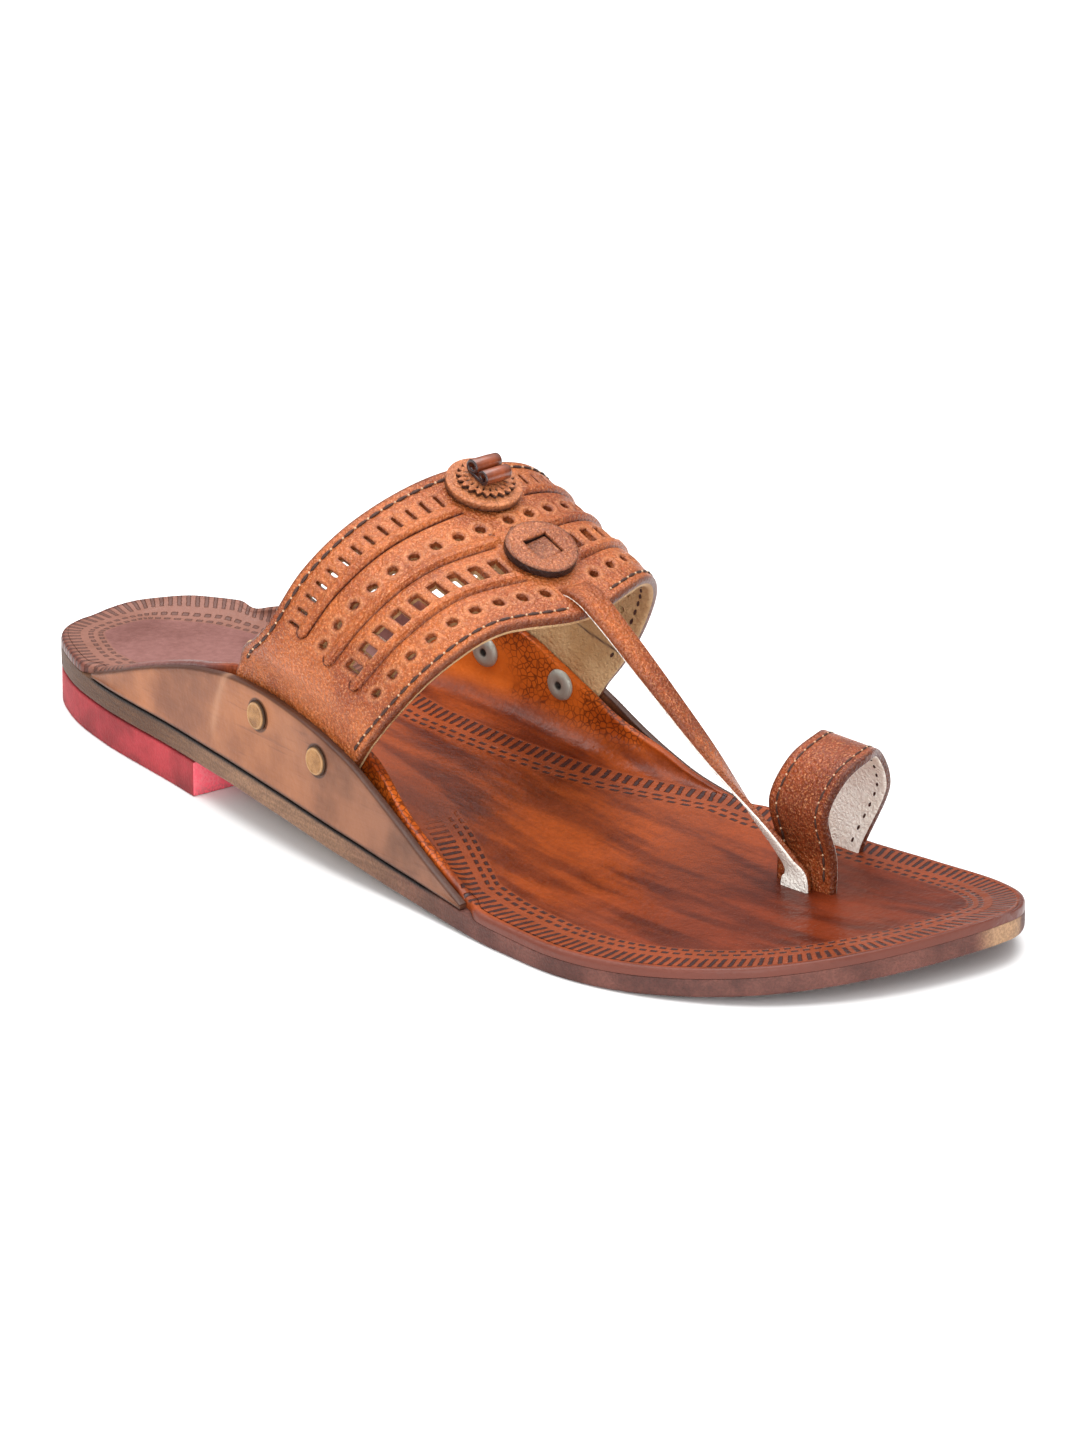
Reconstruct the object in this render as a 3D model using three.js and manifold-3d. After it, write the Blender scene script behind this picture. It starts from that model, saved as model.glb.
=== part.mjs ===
import * as THREE from 'three';
import { mergeVertices } from 'three/addons/utils/BufferGeometryUtils.js';
import Module from 'manifold-3d';

// A leather toe-ring sandal for the right foot, in millimetres.
// x runs out to the little-toe side, y from the back of the heel to the toe, z up from the floor.

const wasm = await Module();
wasm.setup();

// Sole
const sandalLength = 270;
const ballWidth = 95;
const heelHeight = 8.7;
const heelLength = 74;
const heelSkew = 9;
const heelInset = 0.1;
const heelBevel = 0.5;
const outsoleThickness = 5.3;
const outsoleEdge = 0.7;
const footbedThickness = 2.2;
const toeSpring = 6;
const flatEnd = 0.778;

// Ears, the leather flaps that hold the instep band at both sides
const earRise = 21.4;
const earLeather = 2;
const earLean = 0.03;
const innerEarLift = 0.9;
const footbedBend = 7;
const lipChamfer = 0.5;

// Instep band
const bandLeather = 2.8;
const instepRise = 69.5;
const stripWidth = 3.4;
const stripHeight = 0.9;
const slitWidth = 0.9;
const slitLength = 4;
const windowWidth = 2.5;
const windowLength = 5.2;
const punchRadius = 1.15;

// Toe strap and toe ring
const strapWidth = 8.2;
const strapLeather = 1.6;
const ringWidth = 17;
const ringLeather = 2;
const ringRise = 30.8;

// Buttons on the instep
const buttonRadius = 8.4;
const rearButtonLeather = 2;
const frontButtonLeather = 2.2;
const pinkedRadius = 5.9;
const pinkedLeather = 1.2;
const toothCount = 20;
const rollLength = 6.6;
const rollLeather = 1.3;
const rollRadius = 1.45;
const tabSize = 6.2;
const tabLeather = 2;
const buttonSeat = 0.55;

// Rivets
const rivetHeadRadius = 3.5;
const rivetHeadHeight = 0.9;
const shankRadius = 1.4;
const washerRadius = 3.7;
const washerHeight = 1;

// Gap between leathers that lie on each other, and around what passes through them
const clearance = 0.3;

const halfBall = ballWidth / 2;
const LATERAL = 1;
const MEDIAL = -1;

// Outline of the sole: half widths as shares of half the ball width, along as a share of the length
const outlineRows = [
  { along: 0.010, lateral: 0.25, medial: 0.25 },
  { along: 0.056, lateral: 0.43, medial: 0.47 },
  { along: 0.125, lateral: 0.56, medial: 0.64 },
  { along: 0.240, lateral: 0.68, medial: 0.735 },
  { along: 0.354, lateral: 0.81, medial: 0.80 },
  { along: 0.470, lateral: 0.90, medial: 0.85 },
  { along: 0.585, lateral: 0.94, medial: 0.89 },
  { along: 0.700, lateral: 1.00, medial: 0.94 },
  { along: 0.776, lateral: 1.00, medial: 0.98 },
  { along: 0.850, lateral: 0.87, medial: 1.00 },
  { along: 0.925, lateral: 0.575, medial: 0.954 },
  { along: 0.972, lateral: 0.17, medial: 0.83 },
  { along: 0.998, lateral: -0.37, medial: 0.64 },
];

// Side view of the outsole: underside as a share of the heel height, thickness as a share of its own
const soleRows = [
  { along: 0.00, underside: 1.00, thickness: 1.00 },
  { along: 0.32, underside: 1.00, thickness: 1.00 },
  { along: 0.40, underside: 0.88, thickness: 1.02 },
  { along: 0.50, underside: 0.56, thickness: 1.04 },
  { along: 0.57, underside: 0.27, thickness: 1.02 },
  { along: 0.64, underside: 0.08, thickness: 0.95 },
  { along: 0.69, underside: 0.00, thickness: 0.87 },
  { along: 0.76, underside: 0.00, thickness: 0.80 },
  { along: 1.00, underside: 0.00, thickness: 0.80 },
];

// Top line of the ears over the outsole, as a share of their rise
const earRows = [
  { along: 0.105, lateral: 0.07, medial: 0.07 },
  { along: 0.135, lateral: 0.21, medial: 0.21 },
  { along: 0.187, lateral: 0.46, medial: 0.46 },
  { along: 0.228, lateral: 0.635, medial: 0.635 },
  { along: 0.265, lateral: 0.775, medial: 0.775 },
  { along: 0.300, lateral: 0.875, medial: 0.875 },
  { along: 0.340, lateral: 0.96, medial: 0.96 },
  { along: 0.385, lateral: 1.00, medial: 1.00 },
  { along: 0.420, lateral: 0.985, medial: 0.95 },
  { along: 0.460, lateral: 0.94, medial: 0.77 },
  { along: 0.500, lateral: 0.84, medial: 0.57 },
  { along: 0.530, lateral: 0.70, medial: 0.41 },
  { along: 0.565, lateral: 0.51, medial: 0.265 },
  { along: 0.600, lateral: 0.31, medial: 0.15 },
  { along: 0.650, lateral: 0.07, medial: 0.07 },
];

// Shares of the length between which the ears part to take in the band
const pocket = { opens: 0.280, full: 0.320, narrows: 0.507, shuts: 0.575 };

// The band, one row for each section from the inner side over the crown to the outer side.
// out is a share of half the ball width, along of the length, up of the instep rise over the outsole.
const bandRows = [
  { rearOut: -0.80, rearAlong: 0.331, rearUp: 0.075, frontOut: -0.83, frontAlong: 0.480, frontUp: 0.075 },
  { rearOut: -0.80, rearAlong: 0.343, rearUp: 0.325, frontOut: -0.83, frontAlong: 0.503, frontUp: 0.225 },
  { rearOut: -0.87, rearAlong: 0.396, rearUp: 0.555, frontOut: -0.82, frontAlong: 0.538, frontUp: 0.435 },
  { rearOut: -0.795, rearAlong: 0.427, rearUp: 0.790, frontOut: -0.72, frontAlong: 0.574, frontUp: 0.661 },
  { rearOut: -0.53, rearAlong: 0.446, rearUp: 0.948, frontOut: -0.46, frontAlong: 0.606, frontUp: 0.800 },
  { rearOut: 0.00, rearAlong: 0.444, rearUp: 1.000, frontOut: 0.00, frontAlong: 0.619, frontUp: 0.778 },
  { rearOut: 0.48, rearAlong: 0.432, rearUp: 0.905, frontOut: 0.42, frontAlong: 0.593, frontUp: 0.757 },
  { rearOut: 0.74, rearAlong: 0.418, rearUp: 0.760, frontOut: 0.67, frontAlong: 0.569, frontUp: 0.633 },
  { rearOut: 0.86, rearAlong: 0.394, rearUp: 0.550, frontOut: 0.82, frontAlong: 0.537, frontUp: 0.437 },
  { rearOut: 0.80, rearAlong: 0.342, rearUp: 0.325, frontOut: 0.87, frontAlong: 0.502, frontUp: 0.225 },
  { rearOut: 0.80, rearAlong: 0.330, rearUp: 0.075, frontOut: 0.87, frontAlong: 0.480, frontUp: 0.075 },
];

// Pierced rows of each half of the band. from and to are shares of the half band, counted from the
// crown, and across is a share of the band's width, counted from its rear edge.
const piercedRows = [
  { shape: 'slit', across: 0.155, from: 0.067, to: 0.561, count: 13 },
  { shape: 'punch', across: 0.38, from: 0.043, to: 0.558, count: 9 },
  { shape: 'window', across: 0.62, from: 0.093, to: 0.558, count: 9 },
  { shape: 'punch', across: 0.83, from: 0.049, to: 0.579, count: 9 },
];

// Raised strips of each half of the band, measured in the same way
const stripRows = [
  { across: 0.222, from: 0.014, to: 0.579 },
  { across: 0.460, from: 0.022, to: 0.597 },
  { across: 0.690, from: 0.046, to: 0.611 },
];

// Places on the band: across counts from the rear edge, off from the crown, both as shares
const rearButton = { across: 0.173, off: -0.054 };
const frontButton = { across: 0.62, off: -0.034 };
const strapSlot = { across: 0.84, off: -0.035 };

// Where the straps enter the footbed, as shares of half the ball width and of the length
const strapFoot = { out: -0.292, along: 0.8093 };
const ringFeet = { medialOut: -0.853, lateralOut: -0.330, medialAlong: 0.791, lateralAlong: 0.843 };

// The toe strap, by share of its length: its turn as a share of a quarter, its width of strapWidth
const strapRows = [
  { along: 0.00, turn: 0.00, width: 1.00 },
  { along: 0.25, turn: 0.00, width: 0.80 },
  { along: 0.45, turn: 0.11, width: 0.78 },
  { along: 0.60, turn: 0.26, width: 0.82 },
  { along: 0.70, turn: 0.43, width: 0.82 },
  { along: 0.80, turn: 0.58, width: 0.82 },
  { along: 0.93, turn: 0.70, width: 0.84 },
  { along: 0.97, turn: 0.92, width: 0.95 },
  { along: 1.00, turn: 1.00, width: 1.00 },
];

// Where the strap bows out of the straight line to its foot, and how far it does
const strapBelly = { along: 0.62, out: -0.3, forwards: 4, up: -0.6 };

// The front edge of the toe ring: out and along as shares of the way between its feet, up of its rise
const ringRows = [
  { out: 0.000, along: 0.00, up: 0.00 },
  { out: -0.015, along: 0.54, up: 0.56 },
  { out: 0.275, along: 0.80, up: 0.91 },
  { out: 0.640, along: 1.14, up: 1.00 },
  { out: 0.985, along: 1.19, up: 0.91 },
  { out: 1.150, along: 1.07, up: 0.63 },
  { out: 1.005, along: 1.01, up: 0.24 },
  { out: 1.000, along: 1.00, up: 0.00 },
];

// Rivets of each ear, along as a share of the length, their heights at both sides as shares of the ear rise
const rivetRows = [
  { name: 'rear', along: 0.3775, lateral: 0.72, medial: 0.62 },
  { name: 'front', along: 0.463, lateral: 0.64, medial: 0.60 },
];

const leathers = {
  heel: { color: '#b23a48', roughness: 0.75, metalness: 0 },
  sole: { color: '#6d4a31', roughness: 0.7, metalness: 0 },
  footbed: { color: '#8f4a24', roughness: 0.35, metalness: 0 },
  ear: { color: '#b3764e', roughness: 0.55, metalness: 0 },
  band: { color: '#c06b3a', roughness: 0.4, metalness: 0 },
  ring: { color: '#9a4a24', roughness: 0.4, metalness: 0 },
  button: { color: '#a8633c', roughness: 0.5, metalness: 0 },
  roll: { color: '#6e2f1c', roughness: 0.4, metalness: 0 },
  rivet: { color: '#b08d5e', roughness: 0.35, metalness: 1 },
};

// Number helpers

function mix(a, b, share) {
  return a + (b - a) * share;
}

function ease(from, to, value) {
  return THREE.MathUtils.smoothstep(value, from, to);
}

// Smooth value of one column of a table at a share of the length, with no overshoot between rows
function columnAt(rows, column, along) {
  const last = rows.length - 1;
  const place = THREE.MathUtils.clamp(along, rows[0].along, rows[last].along);
  let i = 0;
  while (i < last - 1 && rows[i + 1].along < place) i += 1;
  const rate = (k) => (rows[k + 1][column] - rows[k][column]) / (rows[k + 1].along - rows[k].along);
  const slope = (k) => {
    if (k === 0 || k === last) return rate(Math.min(k, last - 1));
    const before = rate(k - 1);
    const after = rate(k);
    return before * after <= 0 ? 0 : (2 * before * after) / (before + after);
  };
  const gap = rows[i + 1].along - rows[i].along;
  const t = (place - rows[i].along) / gap;
  const start = rows[i][column];
  const end = rows[i + 1][column];
  const lift = t * t * (3 - 2 * t);
  const leave = t * (1 - t) * (1 - t) * slope(i) * gap;
  const arrive = t * t * (1 - t) * slope(i + 1) * gap;
  return mix(start, end, lift) + leave - arrive;
}

// Places from one end to the other, closer together near both ends
function stations(from, to, count) {
  const places = [];
  for (let i = 0; i <= count; i += 1) places.push(mix(from, to, (1 - Math.cos((Math.PI * i) / count)) / 2));
  return places;
}

// Solid helpers

function signedVolume(geometry) {
  const position = geometry.getAttribute('position');
  const index = geometry.getIndex();
  const a = new THREE.Vector3();
  const b = new THREE.Vector3();
  const c = new THREE.Vector3();
  let volume = 0;
  for (let i = 0; i < index.count; i += 3) {
    a.fromBufferAttribute(position, index.getX(i));
    b.fromBufferAttribute(position, index.getX(i + 1));
    c.fromBufferAttribute(position, index.getX(i + 2));
    volume += a.dot(b.cross(c)) / 6;
  }
  return volume;
}

// One solid from a closed geometry, with its shared corners merged and its faces pointing out
function solid(geometry) {
  const bare = geometry.clone();
  bare.deleteAttribute('normal');
  bare.deleteAttribute('uv');
  const merged = mergeVertices(bare, 1e-5);
  const faces = Array.from(merged.getIndex().array);
  if (signedVolume(merged) < 0) faces.reverse();
  const kept = [];
  for (let i = 0; i < faces.length; i += 3) {
    const [a, b, c] = faces.slice(i, i + 3);
    if (a !== b && b !== c && c !== a) kept.push(a, b, c);
  }
  return new wasm.Manifold(
    new wasm.Mesh({
      numProp: 3,
      vertProperties: Float32Array.from(merged.getAttribute('position').array),
      triVerts: Uint32Array.from(kept),
    }),
  );
}

function geometryOf(body) {
  const mesh = body.getMesh();
  const geometry = new THREE.BufferGeometry();
  geometry.setAttribute('position', new THREE.BufferAttribute(Float32Array.from(mesh.vertProperties), 3));
  geometry.setIndex(Array.from(mesh.triVerts));
  geometry.computeVertexNormals();
  return geometry;
}

// Closed body through rings of the same number of points, with flat ends
function loft(rings) {
  const size = rings[0].length;
  const corners = rings.flat();
  const faces = [];
  for (let r = 0; r < rings.length - 1; r += 1) {
    for (let i = 0; i < size; i += 1) {
      const a = r * size + i;
      const b = r * size + ((i + 1) % size);
      faces.push(a, b, b + size, a, b + size, a + size);
    }
  }
  const cap = (ring, first, turned) => {
    const normal = new THREE.Vector3();
    for (let i = 0; i < size; i += 1) normal.add(ring[i].clone().cross(ring[(i + 1) % size]));
    const turn = new THREE.Quaternion().setFromUnitVectors(normal.normalize(), new THREE.Vector3(0, 0, 1));
    const flat = ring.map((point) => point.clone().applyQuaternion(turn));
    for (const [a, b, c] of THREE.ShapeUtils.triangulateShape(flat, [])) {
      if (turned) faces.push(first + a, first + b, first + c);
      else faces.push(first + c, first + b, first + a);
    }
  };
  cap(rings[0], 0, false);
  cap(rings[rings.length - 1], (rings.length - 1) * size, true);
  const geometry = new THREE.BufferGeometry();
  geometry.setAttribute('position', new THREE.Float32BufferAttribute(corners.flatMap((p) => [p.x, p.y, p.z]), 3));
  geometry.setIndex(faces);
  return solid(geometry);
}

// Moves every corner of a geometry through a function of its own place
function reshape(geometry, place) {
  const position = geometry.getAttribute('position');
  const corner = new THREE.Vector3();
  for (let i = 0; i < position.count; i += 1) {
    corner.fromBufferAttribute(position, i);
    const moved = place(corner);
    position.setXYZ(i, moved.x, moved.y, moved.z);
  }
  return geometry;
}

// Sole surfaces

function undersideAt(y) {
  const along = y / sandalLength;
  const spring = Math.max(0, (along - flatEnd) / (1 - flatEnd));
  return heelHeight * columnAt(soleRows, 'underside', along) + toeSpring * spring * spring;
}

function soleTopAt(y) {
  return undersideAt(y) + outsoleThickness * columnAt(soleRows, 'thickness', y / sandalLength);
}

function footbedTopAt(y) {
  return soleTopAt(y) + clearance + footbedThickness;
}

function outlineCurve() {
  const lateral = outlineRows.map((row) => new THREE.Vector3(row.lateral * halfBall, row.along * sandalLength, 0));
  const medial = outlineRows.map((row) => new THREE.Vector3(-row.medial * halfBall, row.along * sandalLength, 0));
  const points = [new THREE.Vector3(0, 0, 0), ...lateral, ...medial.reverse()];
  return new THREE.CatmullRomCurve3(points, true, 'centripetal');
}

const outlinePoints = outlineCurve().getPoints(540);
const tipIndex = outlinePoints.reduce((best, point, i) => (point.y > outlinePoints[best].y ? i : best), 0);
const tipAlong = outlinePoints[tipIndex].y;
const sideLines = {
  [LATERAL]: outlinePoints.slice(0, tipIndex + 1),
  [MEDIAL]: outlinePoints.slice(tipIndex).reverse(),
};

// Half width of the sole on one side, counted outwards from the centre line
function edgeAt(side, y) {
  const line = sideLines[side];
  let i = 0;
  while (i < line.length - 2 && line[i + 1].y < y) i += 1;
  const t = THREE.MathUtils.clamp((y - line[i].y) / (line[i + 1].y - line[i].y), 0, 1);
  return side * mix(line[i].x, line[i + 1].x, t);
}

// Outer face of an ear at a height over the outsole, as a distance out from the centre line
function earFaceAt(side, y, height) {
  return edgeAt(side, y) - earLean * height;
}

function earRiseAt(side, y) {
  return earRise * columnAt(earRows, side === LATERAL ? 'lateral' : 'medial', y / sandalLength);
}

const earStart = earRows[0].along * sandalLength;
const earEnd = earRows[earRows.length - 1].along * sandalLength;
const earPlaces = stations(earStart, earEnd, 23);
const endPoint = 0.001 * sandalLength;

// 1 where the ears hold the band between them, 0 where they lie on each other
function pocketAt(y) {
  const along = y / sandalLength;
  return ease(pocket.opens, pocket.full, along) * (1 - ease(pocket.narrows, pocket.shuts, along));
}


function makeOutsole() {
  const ring = (y) => {
    const low = undersideAt(y);
    const high = soleTopAt(y);
    const left = -edgeAt(MEDIAL, y);
    const right = edgeAt(LATERAL, y);
    const chamfer = Math.min(outsoleEdge, (right - left) / 4);
    const point = (x, z) => new THREE.Vector3(x, y, z);
    return [
      point(left + chamfer, low),
      point(right - chamfer, low),
      point(right, low + chamfer),
      point(right, high - chamfer / 2),
      point(right - chamfer / 2, high),
      point(left + chamfer / 2, high),
      point(left, high - chamfer / 2),
      point(left, low + chamfer),
    ];
  };
  return loft(stations(endPoint, tipAlong - endPoint, 38).map(ring));
}

// The heel block follows the outline of the sole, a little inside it, and its breast runs askew
function makeHeelBlock() {
  const side = (sign, length) => {
    const places = stations(0, length, 16).slice(1);
    return places.map((y) => new THREE.Vector2(sign * edgeAt(sign, y), y));
  };
  const lateral = side(LATERAL, heelLength);
  const medial = side(MEDIAL, heelLength + heelSkew);
  const outline = [new THREE.Vector2(0, 0), ...lateral, ...medial.reverse()];
  const halfLength = heelLength / 2;
  const halfWidth = edgeAt(LATERAL, heelLength);
  const height = heelHeight - clearance;
  const ring = (inset, z) =>
    outline.map((point) => {
      const x = point.x * (1 - inset / halfWidth);
      const y = halfLength + (point.y - halfLength) * (1 - inset / halfLength);
      return new THREE.Vector3(x, y, z);
    });
  return loft([
    ring(heelInset + heelBevel, 0),
    ring(heelInset, heelBevel),
    ring(heelInset, height - heelBevel),
    ring(heelInset + heelBevel / 2, height),
  ]);
}

// Cross-section of the footbed: flat in the middle, its sides bent up as the inner layer of the ears
function footbedRing(y) {
  const low = soleTopAt(y) + clearance;
  const leather = footbedThickness;
  const narrow = (edgeAt(LATERAL, y) + edgeAt(MEDIAL, y)) / 12;
  const small = Math.min(lipChamfer, narrow);
  const enters = ease(earStart - 3 * earLeather, earStart - clearance, y);
  const leaves = 1 - ease(earEnd + clearance, earEnd + 3 * earLeather, y);
  const inset = enters * leaves * (earLeather + clearance) + pocketAt(y) * (bandLeather + clearance);
  const inEar = y > earStart && y < earEnd;
  const wall = Math.min(leather, 3 * narrow);
  const turn = [0, 45, 90].map(THREE.MathUtils.degToRad);
  const side = (sign) => {
    const rise = inEar ? Math.max(0, earRiseAt(sign, y) + innerEarLift - leather - clearance) : 0;
    const bent = ease(0, 2 * leather, rise);
    const bend = Math.min(footbedBend, rise * 0.8);
    const outerBend = Math.min(mix(small, bend + leather, bent), leather + rise - 2 * small);
    const reach = mix(2 * small, footbedBend, bent);
    const base = edgeAt(sign, y) - inset;
    const outerReach = mix(small, reach + wall, bent);
    const outer = turn.map((a) => [base - outerReach * (1 - Math.sin(a)), low + outerBend * (1 - Math.cos(a))]);
    const inner = turn.map((a) => [base - wall - reach * (1 - Math.sin(a)), low + leather + bend * (1 - Math.cos(a))]);
    const top = low + leather + rise;
    const lip = [
      [base, top - small],
      [base - small, top],
    ];
    const points = [...outer, ...lip, ...inner.reverse()];
    return points.map(([x, z]) => new THREE.Vector3(sign * (x - earLean * (z - low)), y, z));
  };
  return [...side(LATERAL), ...side(MEDIAL).reverse()];
}

function makeFootbed() {
  const places = [
    ...stations(endPoint, earStart, 7),
    earStart + clearance,
    ...earPlaces.slice(1, -1),
    earEnd - clearance,
    ...stations(earEnd, tipAlong - endPoint, 12),
  ];
  let body = loft(places.map(footbedRing));
  body = body.subtract(slotCutter(strapFoot.out * halfBall, strapCentre(), strapLeather, strapWidth));
  for (const foot of ringFootPlaces()) {
    body = body.subtract(slotCutter(foot.x, foot.y, ringLeather, ringWidth));
  }
  return body;
}

// Slot through the footbed around a strap that goes down into it
function slotCutter(x, y, leather, width) {
  const room = 2 * clearance;
  const depth = 4 * footbedThickness;
  const geometry = new THREE.BoxGeometry(leather + room, width + 2 * room, depth);
  geometry.translate(x, y, footbedTopAt(y) - footbedThickness / 2);
  return solid(geometry);
}

// Outer layer of an ear, which stands on the edge of the outsole
function makeOuterEar(side) {
  const ring = (y) => {
    const foot = soleTopAt(y) + clearance;
    const height = earRiseAt(side, y) - clearance;
    const small = Math.min(lipChamfer, height / 4);
    const point = (depth, up) => new THREE.Vector3(side * (earFaceAt(side, y, up) - depth), y, foot + up);
    return [
      point(0, 0),
      point(0, height - small),
      point(small, height),
      point(earLeather, height),
      point(earLeather, 0),
    ];
  };
  return loft(earPlaces.map(ring));
}

// Instep band

function bandEdge(prefix) {
  const points = bandRows.map((row) => {
    const y = row[`${prefix}Along`] * sandalLength;
    return new THREE.Vector3(row[`${prefix}Out`] * halfBall, y, soleTopAt(y) + row[`${prefix}Up`] * instepRise);
  });
  return new THREE.CatmullRomCurve3(points, false, 'centripetal');
}

const rearEdge = bandEdge('rear');
const frontEdge = bandEdge('front');

// Point of the band's outer surface; around runs from 0 at the inner side to 1 at the outer side
function bandSurface(around, across) {
  const point = rearEdge.getPoint(around).lerp(frontEdge.getPoint(around), across);
  const side = point.x < 0 ? MEDIAL : LATERAL;
  const height = point.z - soleTopAt(point.y);
  const held = earFaceAt(side, point.y, height) - earLeather - clearance;
  const free = ease(earRise / 10, earRise / 2, height - earRiseAt(side, point.y));
  point.x = mix(side * held, point.x, free);
  return point;
}

// Point over the band's outer surface, or under it where the lift is negative
function bandPoint(around, across, lift) {
  const step = 0.002;
  const here = bandSurface(around, across);
  const alongArc = bandSurface(Math.min(1, around + step), across).sub(bandSurface(Math.max(0, around - step), across));
  const alongWidth = bandSurface(around, across + step).sub(bandSurface(around, across - step));
  const normal = alongArc.cross(alongWidth).normalize();
  return here.addScaledVector(normal, lift);
}

// Lengths round the middle of the band, from the crown out, to turn millimetres into shares
const arcSamples = 200;
const arcLengths = [0];
for (let i = 1; i <= arcSamples; i += 1) {
  const step = bandSurface(i / arcSamples, 0.5).distanceTo(bandSurface((i - 1) / arcSamples, 0.5));
  arcLengths.push(arcLengths[i - 1] + step);
}
const crownLength = arcLengths[arcSamples / 2];
const halfArc = { [LATERAL]: arcLengths[arcSamples] - crownLength, [MEDIAL]: crownLength };
const bandWidth = bandSurface(0.5, 0).distanceTo(bandSurface(0.5, 1));

// Place round the band at a signed distance from the crown, positive to the outer side
function aroundAt(distance) {
  const target = THREE.MathUtils.clamp(crownLength + distance, 0, arcLengths[arcSamples]);
  let i = 0;
  while (i < arcSamples - 1 && arcLengths[i + 1] < target) i += 1;
  return (i + (target - arcLengths[i]) / (arcLengths[i + 1] - arcLengths[i])) / arcSamples;
}

// Bends a flat piece onto the band: its x goes round the band, its y along the foot, its z out
function onBand(geometry, spot, lift) {
  const side = Math.sign(spot.off);
  const off = Math.abs(spot.off) * halfArc[side];
  return reshape(geometry, (corner) => {
    const around = aroundAt(side * off + corner.x);
    const width = bandSurface(around, 0).distanceTo(bandSurface(around, 1));
    return bandPoint(around, spot.across + corner.y / width, lift + corner.z);
  });
}

// 1 under a button, where the band is flat for it to sit on, and 0 away from it
function underButton(spot, side, off, across) {
  const spotOff = Math.sign(spot.off) * Math.abs(spot.off) * halfArc[Math.sign(spot.off)];
  const apart = Math.hypot(side * off - spotOff, (across - spot.across) * bandWidth);
  return 1 - ease(buttonRadius + stripWidth / 2, buttonRadius + stripWidth, apart);
}

// Whether a hole would lie where the toe strap comes out of the band
function underStrap(side, off, across) {
  const apart = Math.abs(side * off - strapSlot.off * halfArc[MEDIAL]);
  return apart < strapWidth / 2 + 2 * punchRadius && across > strapSlot.across - 0.1;
}

// Height of a raised strip at a place round the band
function stripLift(row, around) {
  const distance = around * arcLengths[arcSamples] - crownLength;
  const side = distance < 0 ? MEDIAL : LATERAL;
  const off = Math.abs(distance);
  const fade = stripWidth / 2;
  const starts = ease(row.from * halfArc[side] - fade / 2, row.from * halfArc[side] + fade / 2, off);
  const ends = 1 - ease(row.to * halfArc[side] - fade, row.to * halfArc[side] + fade / 2, off);
  const seats = [rearButton, frontButton].map((spot) => 1 - underButton(spot, side, off, row.across));
  return stripHeight * starts * ends * seats[0] * seats[1];
}

// The band's wall, with its raised strips as steps of its outer face
function makeBand() {
  const half = stripWidth / 2 / bandWidth;
  const rim = lipChamfer / bandWidth;
  const ring = (place) => {
    const around = aroundAt(place * arcLengths[arcSamples] - crownLength);
    const outer = [bandPoint(around, 0, -lipChamfer), bandPoint(around, rim, 0)];
    for (const row of stripRows) {
      const lift = stripLift(row, place);
      outer.push(bandPoint(around, row.across - half, 0));
      outer.push(bandPoint(around, row.across - half * 0.7, lift));
      outer.push(bandPoint(around, row.across + half * 0.7, lift));
      outer.push(bandPoint(around, row.across + half, 0));
    }
    outer.push(bandPoint(around, 1 - rim, 0), bandPoint(around, 1, -lipChamfer));
    const inner = [0, rim, 0.25, 0.5, 0.75, 1 - rim, 1].map((across) => {
      const edge = across === 0 || across === 1;
      return bandPoint(around, across, edge ? lipChamfer - bandLeather : -bandLeather);
    });
    return [...outer, ...inner.reverse()];
  };
  const rings = [];
  const steps = 38;
  for (let i = 0; i <= steps; i += 1) rings.push(ring(i / steps));
  return loft(rings);
}

function piercer(row, side, off) {
  const depth = 3 * bandLeather;
  const shapes = {
    slit: () => new THREE.BoxGeometry(slitWidth, slitLength, depth),
    window: () => new THREE.BoxGeometry(windowWidth, windowLength, depth),
    punch: () => new THREE.CylinderGeometry(punchRadius, punchRadius, depth, 6).rotateX(Math.PI / 2),
  };
  const around = aroundAt(side * off * halfArc[side]);
  const centre = bandPoint(around, row.across, -bandLeather / 2);
  const out = bandPoint(around, row.across, bandLeather).sub(centre).normalize();
  const forward = bandSurface(around, row.across + 0.01).sub(bandSurface(around, row.across - 0.01)).normalize();
  const sideways = forward.clone().cross(out).normalize();
  const frame = new THREE.Matrix4().makeBasis(sideways, out.clone().cross(sideways), out).setPosition(centre);
  return solid(shapes[row.shape]().applyMatrix4(frame));
}

// Toe strap

function strapCentre() {
  return strapFoot.along * sandalLength;
}

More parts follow.
